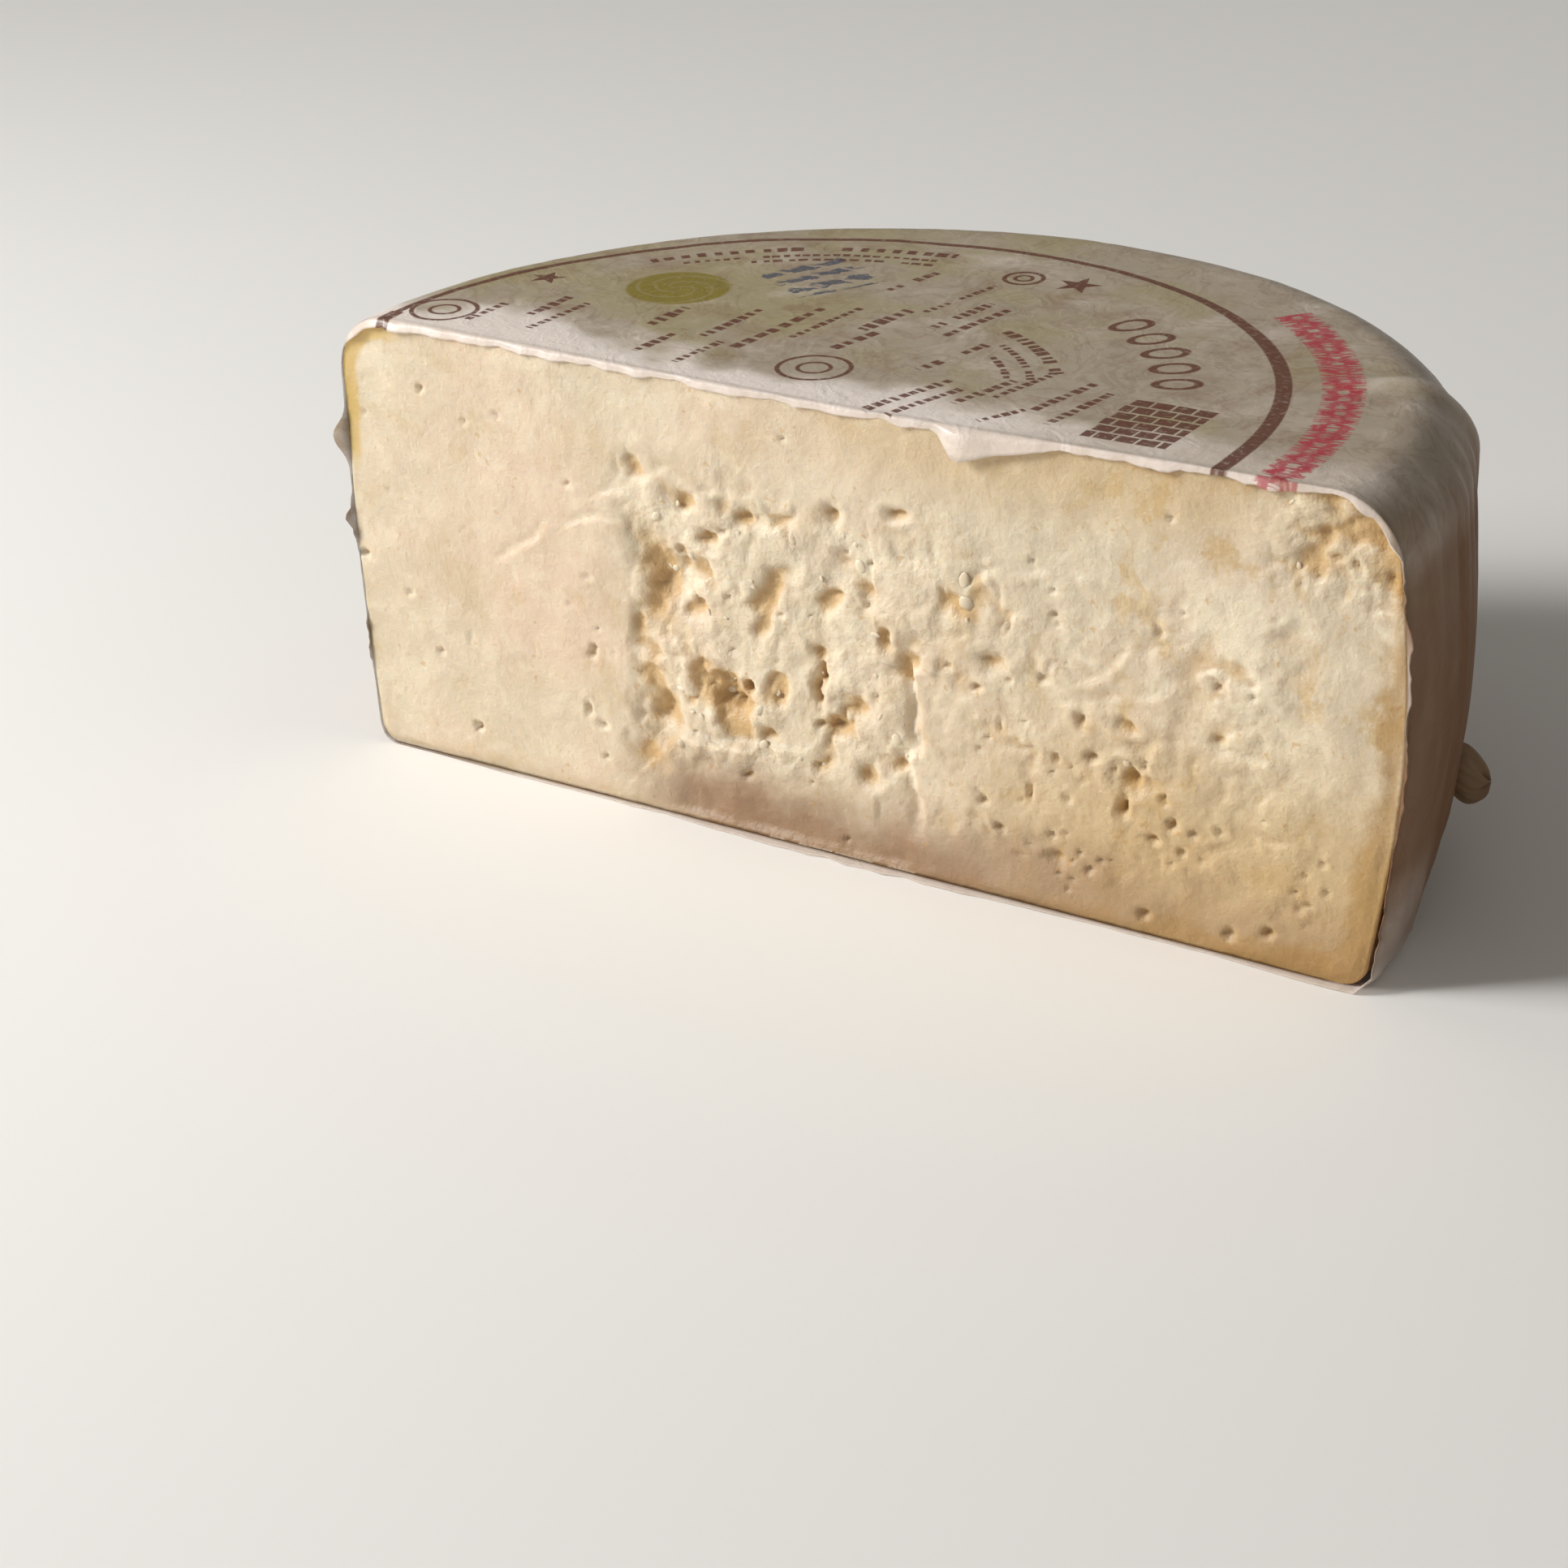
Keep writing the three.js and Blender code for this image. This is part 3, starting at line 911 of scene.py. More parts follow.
def cheese_material(name, settings, glow, grain):
    """Pressed curd: mottled cream where it is cut, whiter where it is torn, with a thin darker rind. Its
    hollows turn darker golden, partly its own tone and partly painted shade, and painted shade darkens it
    along the bottom and towards the lower right. glow is how much light goes through the paste, and grain
    how strong its fine relief is."""
    material, nodes = new_material(name)
    place, x, _, z = nodes.place()
    torn, hollow = nodes.attribute("torn"), nodes.attribute("hollow")
    inside, cut = nodes.attribute("inside"), nodes.attribute("cut")

    patches = nodes.noise(place, 24.0, 3.0).step(0.40, 0.64)
    flecks = nodes.noise(place, 95.0, 4.0, 0.62, 0.4)
    mottle = nodes.noise(place, 260.0, 4.0, 0.62)
    left, right = x.step(0.0, -0.06), x.step(0.01, 0.06)
    paste = nodes.blend(patches * (0.35 + 0.5 * left), settings.paste, settings.rosy)
    paste = nodes.blend(flecks.step(0.50, 0.62) * (0.35 + 0.3 * torn + 0.25 * right), paste, settings.curd)
    paste = nodes.blend(flecks.step(0.46, 0.34) * (0.25 + 0.45 * right), paste, settings.ochre)
    paste = nodes.blend(mottle.step(0.45, 0.7) * 0.3, paste, settings.curd)
    paste = nodes.blend(torn * 0.2, paste, settings.curd)
    # Partly the paste's yellower tone and partly painted shade: the right half turns darker ochre towards
    # the bottom.
    paste = nodes.blend(right * z.step(0.052, 0.012) * 0.78, paste, settings.ochre)
    under_lip = (z + (flecks - 0.5) * 0.012).step(0.068, 0.080) * x.step(-0.02, 0.03)
    paste = nodes.blend(under_lip * (0.5 - 0.3 * x.step(0.07, 0.085)), paste, settings.ochre)
    # Painted shade: the paste darkens to mauve brown towards the bottom, less on the right.
    low_down = (z + (nodes.noise(place, 70.0) - 0.5) * 0.020).step(0.019, 0.003)
    bottom_band = low_down * (x + z * 0.8).step(-0.048, -0.022)
    paste = nodes.blend(bottom_band * (0.92 - 0.4 * right), paste, settings.bottom_band)
    # Partly painted shade: deeper places turn darker golden, which is partly the curd's own tone in its
    # eyes and partly the shade that falls in them.
    sunk = (hollow + (mottle - 0.5) * 1.2).step(0.25, 2.0)
    paste = nodes.blend(sunk * 0.7, paste, settings.hollow)
    specks = nodes.noise(place, 700.0, 1.0, 0.4).step(0.66, 0.74) * nodes.noise(place, 90.0).step(0.48, 0.6)
    paste = nodes.blend(specks * 0.45, paste, settings.hollow)
    ragged = inside + (flecks - 0.5) * 9.0
    yellow_corner = x.step(-0.082, -0.098) * z.step(0.058, 0.070)
    # Painted shade: the darker rind band is widened at the lower right.
    low_right_shade = x.step(0.06, 0.1) * z.step(0.045, 0.01)
    rim = (ragged - low_right_shade * 2.5).step(4.2, 0.4) * (0.2 + 0.65 * x.step(0.0, 0.1) + 0.6 * yellow_corner)
    paste = nodes.blend(rim * 0.7, paste, settings.rind)
    strip = (inside + (flecks - 0.5) * 3.0).step(4.6, 3.2) * x.step(-0.088, -0.096) * z.step(0.054, 0.060)
    paste = nodes.blend(strip * 0.8, paste, settings.yellow_rind)
    paste = nodes.blend(1 - cut.step(0.2, 0.8), paste, settings.old_rind)

    pores = nodes.noise(place, 1100.0, 3.0, 0.6)
    curd = nodes.noise(place, 420.0, 4.0, 0.6)
    height = curd * (0.45 + 1.0 * torn) + pores * 0.4 + flecks * 0.5
    finish_material(
        nodes,
        Base_Color=paste,
        Roughness=0.42 + mottle * 0.22,
        Normal=nodes.bump(height, grain, 0.0007),
        Subsurface_Weight=glow,
        Subsurface_Radius=(1.0, 0.62, 0.32),
        Subsurface_Scale=0.0025,
    )
    return material


PASTE_GLOW, PASTE_GRAIN = 0.45, 0.6
CRUMB_GLOW, CRUMB_GRAIN = 0.0, 0.1  # light through so small a shape would give specks


class CHEESE_OT_cheese(bpy.types.Operator):
    """Make the half wheel of cheese, with its torn cut face and its eyes"""

    bl_idname = "cheese.make_cheese"
    bl_label = "Cheese"

    def execute(self, context):
        wheel, settings = context.scene.wheel_settings, context.scene.cheese_settings
        mesh = cheese_base(wheel, settings)
        carve(mesh, wheel, settings)
        material = cheese_material("cheese_paste", settings, PASTE_GLOW, PASTE_GRAIN)
        radii = settings.eye_smallest, settings.eye_largest
        scatter = settings.eye_density, *radii, settings.eye_seed, material
        cheese = shown("cheese", run_tree("small_eyes", mesh, eye_tree(), *scatter), material)
        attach(cheese, "root")
        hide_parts("cheese_half")
        return {"FINISHED"}


class CHEESE_OT_crumbs(bpy.types.Operator):
    """Make the flat crumbs of curd on the torn parts of the cut face"""

    bl_idname = "cheese.make_crumbs"
    bl_label = "Curd Crumbs"

    def execute(self, context):
        settings = context.scene.crumb_settings
        colours = context.scene.cheese_settings
        material = cheese_material("crumb_paste", colours, CRUMB_GLOW, CRUMB_GRAIN)
        mesh = bpy.data.objects["cheese"].data.copy()
        number(mesh, "crumbly", smooth(0.5, 1.0, stored(mesh, "torn")) * 0.5)
        scatter = settings.density, settings.smallest, settings.largest, settings.seed, material
        made = run_tree("curd_crumbs", mesh, crumb_tree(), *scatter)
        for name, value in (("cut", 1.0), ("torn", 1.0), ("inside", 20.0), ("hollow", 0.0)):
            number(made, name, np.full(len(made.vertices), value))
        shade_smooth(made)
        crumbs = shown("curd_crumbs", made, material)
        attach(crumbs, "root")
        return {"FINISHED"}


# ---- The wrapping film ----

FILM_BOTTOM_ROWS, FILM_SIDE_ROWS, FILM_TOP_ROWS = 26, 96, 58
LIP_STEPS = 5  # points across the film's lip, from the knife's plane to its free edge
GATHER_AROUND, GATHER_ALONG = 96, 30  # points round the gathered end, and along it
GATHER_ROOT = 0.004  # how far inside the film the gathered neck starts
GATHER_TIP = 0.0002  # the least radius, at the tuft's tip
GATHER_LOOSE = 0.22  # how loose its film is


def lip_shape(x, z):
    """The film's free edge at x, z in mm on the outline: how long it is, and how far it has curled
    from straight forwards, in radians, positive away from the cheese."""
    wander = rough(x, z, 7, 71)
    flutter = rough(x, z, 2.6, 72)
    on_top, right, left = smooth(76, 82, z), smooth(60, 90, x), smooth(60, 90, -x)
    length = (0.9 + 0.5 * wander + 0.3 * flutter) * (1 - 0.85 * left * (1 - on_top))
    length += on_top * (0.7 + 0.25 * flutter + 0.5 * wander)
    length += right * (1 - on_top) * smooth(58, 64, z) * 1.3
    length += right * hump(z, 50, 7) * (1.0 + 1.4 * flutter)
    length += left * hump(z, 61, 3.4) * 3.0
    length += left * hump(z, 45, 4.5) * (1.3 + 1.2 * flutter)
    length += left * hump(z, 21, 4.5) * (0.8 + 1.2 * flutter)
    flap = np.clip(np.minimum((x - 22.5) / 4.5, (46 - x) / 18), 0, 1) * on_top
    length += 4.4 * flap
    curl = -1.25 * on_top + (0.45 * wander + 0.35 * flutter) * (1 - 0.5 * on_top)
    curl = curl * (1 - 0.8 * flap) - 1.38 * 0.8 * flap
    curl += left * hump(z, 58, 12) * 1.5
    curl += right * (1 - on_top) * 0.5
    on_floor = 1 - smooth(1, 4, z)
    curl = (1 - on_floor) * curl - on_floor * (0.12 + 0.1 * np.abs(flutter))
    middle = (1.3 + flutter) * np.exp(-(((x - 4) / 30) ** 4))
    length += on_floor * (0.5 + 0.9 * smooth(70, 98, x) + middle)
    return np.clip(length, 0.25, None), curl


def film_relief(x, y, z, turn, wheel):
    """How far the film stands off its clinging place, in metres, and how loose it is, from 0 to 1, which
    the material turns pale and which also carries a painted highlight along the top's front edge.
    """
    around, height, behind = 105 * turn, z / MM, (y - CUT_Y) / MM
    right = hump(turn, 0, 0.16)
    folds = np.abs(rough(around, height * 0.16, 8.5, 81, 3)) ** 1.2
    fan = hump(turn, 0.45, 0.30)
    fan_folds = np.abs(np.sin(around * 0.33 + 0.9 * rough(around, height * 0.2, 9, 83)))
    on_side = smooth(3, 12, height) * (1 - smooth(74, 83, height))
    crease = hump(turn, 0.50, 0.035) * smooth(58, 76, height) * smooth(60, 90, np.hypot(x, y) / MM)
    on_top = smooth(80, 84, height)
    top_waves = 0.22 * rough(x / MM, y / MM, 24, 85, 3) + 0.16 * np.abs(rough(x / MM, y / MM, 9, 87, 3))
    off = on_side * (0.75 * folds + 0.8 * fan * fan_folds) + 1.2 * crease + on_top * (top_waves + 0.12)
    outermost = smooth(94, 101, np.hypot(x, y - CUT_Y - wheel.cut_offset) / MM)
    foot = right * smooth(30, 0, height) * outermost
    crinkled = 1 + 0.9 * rough(around + 2 * height, behind, 4, 90)
    off = off * (0.08 + 0.92 * smooth(0, 7, behind)) + foot * crinkled
    # Along the top's front edge the film counts as loose and so turns pale in the material: partly the film
    # standing off there and partly a painted highlight where it bends over the cut, fading towards the
    # right.
    ragged = behind + 8 * rough(x / MM, y / MM, 12, 89, 4)
    edge = smooth(17, 3, ragged) * on_top * (1 - 0.55 * smooth(10, 60, x / MM))
    loose = np.maximum.reduce([edge, foot, 0.2 * right * on_side, 0.35 * crease])
    return MM * np.clip(off, -0.2, None), np.clip(loose, 0, 1)


def normals_of(grid):
    """Outward unit normals of a (rows, columns, 3) grid that runs up and leftwards."""
    along = np.gradient(grid, axis=1)
    up = np.gradient(grid, axis=0)
    out = np.cross(along, up)
    out[0], out[-1] = (0, 0, -1), (0, 0, 1)  # the poles, where a row is a single point
    size = np.linalg.norm(out, axis=2, keepdims=True)
    return out / np.maximum(size, 1e-12)


def film_grid(wheel, settings):
    """The film's outside as a (rows, columns, 3) grid with a free lip at both ends of every row, and
    how loose it is at each point. Its columns are closer together near the cut."""
    t = np.linspace(0, 1, settings.columns)
    turns = math.pi * (t - 0.4 * np.sin(2 * math.pi * t) / (2 * math.pi))
    bottom, top = np.linspace(0, 1, FILM_BOTTOM_ROWS), np.linspace(0, 1, FILM_TOP_ROWS)
    x, y, z = wheel_grid(wheel, FILM_GROWTH, turns, bottom, FILM_SIDE_ROWS, top)
    grid = np.stack([x, y, z + CHEESE_BOTTOM], -1)
    out = normals_of(grid)
    out[:, 0, 1], out[:, -1, 1] = 0, 0
    turn = np.arctan2(y - CUT_Y - wheel.cut_offset, x)
    off, loose = film_relief(x, y, z, turn, wheel)
    grid = grid + out * off[..., None]
    grid[..., 2] = np.maximum(grid[..., 2], 0)
    return add_lips(grid, out, loose)


def add_lips(grid, out, loose):
    """Carries each row on past the knife's plane at both ends, along a curl."""
    lips = []
    for column in (0, -1):
        start, away = grid[:, column], out[:, column] * [1, 0, 1]
        away = away / np.linalg.norm(away, axis=1, keepdims=True)
        reach, curl = lip_shape(start[:, 0] / MM, start[:, 2] / MM)
        place, strip = start.copy(), []
        for k in range(1, LIP_STEPS + 1):
            angle = (curl * min(k / 2.5, 1))[:, None]
            step = (reach * MM / LIP_STEPS)[:, None]
            place = place + step * (np.cos(angle) * [0, -1, 0] + np.sin(angle) * away)
            place[:, 2] = np.maximum(place[:, 2], 0)
            strip.append(place)
        lips.append(np.stack(strip, 1))
    wider = np.concatenate([lips[0][:, ::-1], grid, lips[1]], 1)
    # The lips count as loose, so the material turns them pale. On the sides below the top they are made
    # duller, as painted shade, except on the right lip round 54 mm up and near the foot, where the paler
    # streaks stay, partly the free lip's own whiteness and partly painted highlight.
    height = grid[:, :1, 2] / MM
    low = smooth(80, 70, height) * smooth(60, 90, grid[:, :1, 0] / MM)
    shaded_lip = np.clip(1.15 - hump(height, 54, 9) - smooth(12, 4, height), 0, 1)
    first, last = (np.repeat(lip, LIP_STEPS, 1) for lip in (1 - 0.8 * low * shaded_lip, 1 - 0.85 * low))
    return wider, np.concatenate([first, loose, last], 1)


def clearness(grid):
    """How see-through the film is, from 0 to 1: most at its free edge, least where it is crumpled."""
    x, y, z = (grid[..., k] / MM for k in range(3))
    edge = smooth(1.5, -0.6, y - CUT_Y / MM)
    on_top, left = smooth(76, 82, z), smooth(-70, -95, x)
    crumpled = hump(z, 61, 4) + hump(z, 45, 4.5) + hump(z, 21, 4.5)
    clear = 0.45 + 0.15 * on_top + 0.5 * left * (1 - on_top) * np.clip(1 - 1.3 * crumpled, 0, 1)
    return edge * np.clip(clear + 0.35 * rough(x, z - y, 3, 74), 0, 1)


def film_shell(wheel, settings):
    """The film as points, faces, how loose and how clear it is. It has an outside, an inside and
    free rims."""
    outer, loose = film_grid(wheel, settings)
    rows, columns = loose.shape
    inner = outer - normals_of(outer) * settings.thickness
    inner[..., 2] = np.maximum(inner[..., 2], settings.thickness * (outer[..., 2] < MM))
    points = np.concatenate([outer.reshape(-1, 3), inner.reshape(-1, 3)])
    count = rows * columns
    faces = [grid_faces(rows, columns), grid_faces(rows, columns, first=count, turned=True)]
    row = np.arange(rows - 1) * columns
    for column in (0, columns - 1):  # the rims; at the poles both ends of a row meet
        a, b = row + column, row + column + columns
        faces.append(np.stack([a, b, b + count, a + count], 1))
    return points, np.concatenate(faces), np.tile(loose.ravel(), 2), np.tile(clearness(outer).ravel(), 2)


def gathered_end(wheel, settings):
    """The twisted neck and the pleated tuft as points, quads and triangles, standing out of the
    film's side. It is shaped along +X, from its root at t = 0 to its tip at t = 1, then set there."""
    around, along = GATHER_AROUND, GATHER_ALONG
    phi = np.linspace(0, 2 * math.pi, around, endpoint=False)[None, :]
    t = np.linspace(0, 1, along)[:, None]
    neck, tuft = settings.neck_radius, settings.tuft_radius
    widen = neck + (tuft - neck) * smooth(0.25, 0.72, t)
    close = np.sqrt(1 - np.clip((t - 0.5) / 0.5, 0, 1) ** 2)
    pleats = 1 + 0.09 * np.sin(7 * phi + 5 * t) * smooth(0, 0.3, t) + 0.05 * np.sin(17 * phi - 3 * t)
    radius = widen * close * pleats + GATHER_TIP
    sag = 0.0034 - 0.0032 * smooth(0.2, 1, t) ** 1.5
    x = -GATHER_ROOT + (settings.gather_reach + GATHER_ROOT) * t
    x = x + 0.0007 * np.sin(5 * phi) * smooth(0.5, 1, t)
    y = 0.8 * radius * np.cos(phi)
    z = radius * np.sin(phi) + sag
    points = np.stack(np.broadcast_arrays(x, y, z), -1).reshape(-1, 3)
    ends = [[-GATHER_ROOT, 0, 0], [settings.gather_reach, 0, sag[-1, 0]]]
    points = np.concatenate([points, ends])
    grid = np.arange(around * along).reshape(along, around)
    wrapped = np.roll(grid, -1, 1)
    quads = np.stack([grid[:-1], wrapped[:-1], wrapped[1:], grid[1:]], -1).reshape(-1, 4)
    first, last = around * along, around * along + 1
    start = np.stack([np.full(around, first), wrapped[0], grid[0]], 1)
    tip = np.stack([np.full(around, last), grid[-1], wrapped[-1]], 1)
    side = wheel.radius - wheel.foot_taper + wheel.side_swell * 0.5 + FILM_GROWTH
    axis = Matrix.Translation((0, CUT_Y + wheel.cut_offset, settings.gather_height))
    turn = Matrix.Rotation(settings.gather_angle, 4, "Z")
    place = np.array(axis @ (turn @ Matrix.Translation((side, 0, 0))))
    return points @ place[:3, :3].T + place[:3, 3], quads, np.concatenate([start, tip])


def film_material(settings):
    """Thin printed film: greyish over the rind, whiter and clearer where it stands off it. Its dark brown
    on the side is partly painted shade, and its paleness along the top's front edge and on the lips is
    partly painted highlight.
    """
    material, nodes = new_material("printed_film")
    place, x, y, z = nodes.place()
    loose, clear = nodes.attribute("loose"), nodes.attribute("clear")
    cloudy = nodes.noise(place, 60.0, 4.0, 0.6)
    upright = nodes.add("ShaderNodeMapping", None, {"Vector": place, "Scale": (1, 1, 0.3)})
    streaks = nodes.noise(upright, 150.0, 4.0)
    yellowish = (nodes.noise(place, 34.0, 4.0, 0.6) - x * 1.1).step(0.42, 0.64)
    base = nodes.blend(yellowish * 0.7, settings.veil, settings.olive)
    base = nodes.blend(cloudy.step(0.5, 0.8) * 0.4, base, settings.loose)
    base = nodes.blend(nodes.noise(place, 75.0, 5.0, 0.7).step(0.52, 0.34) * 0.28, base, settings.side)
    veins = abs(nodes.noise(place, 55.0, 4.0, 0.6, 1.5) - 0.5).step(0.035, 0.0)
    base = nodes.blend(veins * 0.22, base, settings.side)
    # Partly painted shade: below the shoulder the film turns to the dark brown side colour.
    side = (z + (cloudy - 0.5) * 0.012 - x.step(0.05, 0.10) * 0.004).step(0.083, 0.064)
    base = nodes.blend(side * 0.96, base, settings.side)
    base = nodes.blend(yellowish * side * 0.32, base, settings.olive)
    base = nodes.blend(streaks.step(0.42, 0.75) * side * 0.14, base, settings.veil)
    # Loose film turns pale: partly its own whiteness and partly painted highlight along the top's front
    # edge and on the lips.
    white_and_highlight = (loose * (0.5 + cloudy)).step(0.0, 0.9) * (1 - side * z.step(0.0, 0.006) * 0.5)
    base = nodes.blend(white_and_highlight * 0.95, base, settings.loose)
    base = printed(nodes, settings, base, x, y, z)
    crinkle = nodes.noise(place, 520.0, 3.0, 0.6, 0.6)
    ridges = 1 - abs(nodes.noise(place, 120.0, 3.0, 0.5, 1.2) - 0.5) * 6
    height = crinkle * (0.18 + loose * 0.4) + ridges.most(0.0) * 0.22 + (cloudy + streaks * side) * 0.8
    hidden = loose.step(0.3, 1.0) * z.step(0.07, 0.05) * 0.35
    finish_material(
        nodes,
        Base_Color=base,
        Roughness=0.30 + cloudy * 0.22 + side * 0.12,
        Alpha=(0.96 - hidden) * (1 - clear * 0.75),
        Normal=nodes.bump(height, 0.5, 0.0006),
        Coat_Weight=0.28 - side * 0.28,
        Coat_Roughness=0.18,
        Specular_IOR_Level=0.26,
    )
    return material


# The print, in mm: places are x from the middle of the cut and y from the knife's plane.
RING_CENTRE, RING_RADIUS = (-9.7, 4.1), 83.7
STARS = ((8.3, 74.7, 4.6, 0.3), (-81.5, 33.7, 3.8, 0.1))  # middle x and y, radius, turn in radians
SEAL = (-56.2, 40.0, 10.2)  # middle x and y, radius
CIRCLES = ((-10.3, 14.2, 6.4), (-86.5, 9.0, 6.0), (-2.6, 74.0, 3.6))  # middle x and y, radius
DASH_ARCS = (
    # radius from the ring's centre, from and to angle in degrees, height, length of a dash
    (77.0, 98, 142, 1.9, 3.1),
    (73.2, 100, 138, 1.1, 1.9),
    (70.4, 98, 128, 1.1, 2.4),
    (46.0, 34, 66, 2.2, 2.2),
    (41.5, 30, 58, 1.2, 1.7),
    (37.5, 32, 52, 1.2, 2.1),
)
DASH_ROWS = (
    # middle x, middle y, length, angle in degrees, height, length of a dash
    (-27.5, 30.0, 26.0, 84, 1.7, 3.4),
    (-36.5, 28.0, 17.0, 86, 1.6, 2.3),
    (-48.5, 25.0, 12.0, 88, 1.9, 2.6),
    (-12.8, 42.0, 13.0, 80, 2.2, 2.6),
    (-11.8, 30.0, 12.0, 78, 2.0, 2.9),
    (-1.8, 50.0, 17.0, 80, 1.7, 2.0),
    (2.6, 48.0, 19.0, 80, 1.5, 2.3),
    (22.0, 16.5, 15.0, 76, 1.8, 2.2),
    (11.2, 10.0, 21.0, 74, 1.8, 2.0),
    (15.4, 8.0, 17.0, 74, 1.5, 1.8),
    (40.6, 15.5, 18.0, 82, 1.7, 2.0),
    (-70.8, 20.0, 12.0, 88, 1.7, 2.2),
    (-79.0, 12.0, 12.0, 88, 1.5, 2.0),
    (30.4, 7.5, 9.0, 60, 1.5, 1.8),
    (-66.0, 16.0, 17.0, 87, 1.4, 1.9),
    (-42.5, 14.0, 14.0, 86, 1.6, 2.2),
    (-33.0, 12.0, 13.0, 85, 1.4, 1.9),
    (-21.5, 36.0, 20.0, 82, 1.3, 2.0),
    (-20.0, 64.0, 15.0, 78, 1.6, 2.4),
    (-7.0, 58.0, 20.0, 79, 1.3, 1.9),
    (8.0, 30.0, 17.0, 76, 1.7, 2.4),
    (26.5, 22.0, 16.0, 78, 1.4, 1.9),
    (35.5, 20.0, 17.0, 80, 1.6, 2.1),
)
LARGE_MARKS = (66.0, 23, 59, 5)  # radius, from and to angle in degrees, and how many
BRICKS = (54.4, 13.6, 15.5, 20.0)  # middle x and y, width and depth of the block of small bricks
BLUE_BARS = (-36.2, 57.5, 17.0, 17.0)  # middle x and y, length and depth of the block of bars
RIBBON = (93.6, -10, 50)  # radius, from and to angle in degrees


def turned(x, y, cx, cy, degrees):
    """Places along and across a direction, from a centre. All in millimetres."""
    c, s = math.cos(math.radians(degrees)), math.sin(math.radians(degrees))
    dx, dy = x - cx, y - cy
    return dx * c + dy * s, dy * c - dx * s


def length_of(x, y):
    return (x * x + y * y).math("SQRT")


def dashes(nodes, along, across, from_, to, height, dash, seed):
    """A row of dashes of uneven length and height, some left out, like a line of print far away."""
    cell = along / dash
    index = cell.math("FLOOR")
    one_value = {"noise_dimensions": "1D"}
    chance = nodes.add("ShaderNodeTexWhiteNoise", one_value, {"W": index + seed * 17.3})
    other = nodes.add("ShaderNodeTexWhiteNoise", one_value, {"W": index + seed * 9.1 + 400})
    part = cell.math("FRACT")
    far_end = 0.55 + chance * 0.4
    inked = part.step(0.04, 0.16) * (part - far_end).step(0.06, -0.06) * other.over(0.06)
    band = (abs(across) - height * (0.42 + 0.25 * other)).step(0.2, -0.2)
    return inked * band * along.over(from_) * along.under(to)


def star(x, y, cx, cy, size, tilt):
    """A five-pointed star."""
    dx, dy = x - cx, y - cy
    away = length_of(dx, dy)
    fifth = 2 * math.pi / 5
    part = (dy.math("ARCTAN2", dx) + tilt + 20 * math.pi) / fifth
    off = abs(part.math("FRACT") - 0.5) * fifth
    inner, half = 0.40, fifth / 2
    flat = inner * math.sin(half) / (1 - inner * math.cos(half))
    along, across = away * off.math("COSINE"), away * off.math("SINE")
    return (along * flat + across).under(size * flat)


def printed(nodes, settings, base, x, y, z):
    """The film's print on the top: a ring, plain marks, rows of dashes, a seal and a ribbon."""
    x, y = x * (1 / MM), (y - CUT_Y) * (1 / MM)
    dx, dy = x - RING_CENTRE[0], y - RING_CENTRE[1]
    away, angle = length_of(dx, dy), dy.math("ARCTAN2", dx)
    degree = math.pi / 180
    right = angle.step(75 * degree, 30 * degree)
    ink = (abs(away - RING_RADIUS) - right * 0.6).step(1.0, 0.6)
    for sx, sy, size, tilt in STARS:
        ink = ink.most(star(x, y, sx, sy, size, tilt))
    for ox, oy, size in CIRCLES:
        ink = ink.most(abs(length_of(x - ox, y - oy) - size).step(0.62, 0.28))
        ink = ink.most(abs(length_of(x - ox, y - oy) - size * 0.45).step(0.54, 0.24))
    for seed, (radius, low, high, height, dash) in enumerate(DASH_ARCS):
        low, high = low * degree * radius, high * degree * radius
        ink = ink.most(dashes(nodes, angle * radius, away - radius, low, high, height, dash, seed + 1))
    for seed, (mx, my, run, tilt, height, dash) in enumerate(DASH_ROWS):
        along, across = turned(x, y, mx, my, tilt)
        ink = ink.most(dashes(nodes, along, across, -run / 2, run / 2, height, dash, seed + 20))
    ink = ink.most(large_marks(away, angle)).most(bricks(x, y))
    worn = nodes.noise(nodes.flat(x, y), 0.9, 3.0).step(0.22, 0.50)
    on_top = z.step(0.0755, 0.0815)
    base = nodes.blend(seal(x, y) * (0.45 + worn * 0.5) * on_top, base, settings.seal_ink)
    base = nodes.blend(blue_bars(nodes, x, y) * (0.3 + worn * 0.6) * on_top, base, settings.blue_ink)
    red = ribbon(nodes, away, angle) * (0.3 + worn * 0.7) * on_top * 0.9
    base = nodes.blend(red, base, settings.red_ink)
    return nodes.blend(ink * (0.42 + worn * 0.5) * on_top, base, settings.brown_ink)


def large_marks(away, angle):
    """A chain of plain open ovals along an arc."""
    radius, low, high, count = LARGE_MARKS
    span = math.radians(high - low) / count
    part = (angle - math.radians(low)) / span
    along = (part.math("FRACT") - 0.5) * (span * radius)
    across = away - radius
    oval = (along * along * 2.3 + across * across).math("SQRT")
    open_one = abs(oval - 3.7).step(1.0, 0.55)
    return open_one * part.over(0.0) * part.under(float(count))


def bricks(x, y):
    """A block of small bricks with thin joints."""
    mx, my, width, depth = BRICKS
    inside = abs(x - mx).under(width / 2) * abs(y - my).under(depth / 2)
    row = (y - my) / (depth / 6) + 20
    shifted = row.math("FLOOR") * 0.5
    column = ((x - mx) / (width / 4) + 20 + shifted).math("FRACT")
    return inside * column.step(0.06, 0.16) * row.math("FRACT").step(0.10, 0.24)


def seal(x, y):
    """A round seal with a paler swirl inside."""
    mx, my, size = SEAL
    dx, dy = x - mx, y - my
    away = length_of(dx, dy)
    swirl = abs((away * 0.9 + dy.math("ARCTAN2", dx) * 1.4).math("SINE")).step(0.0, 0.5)
    return away.step(size, size - 1.0) * (0.62 + 0.38 * swirl)


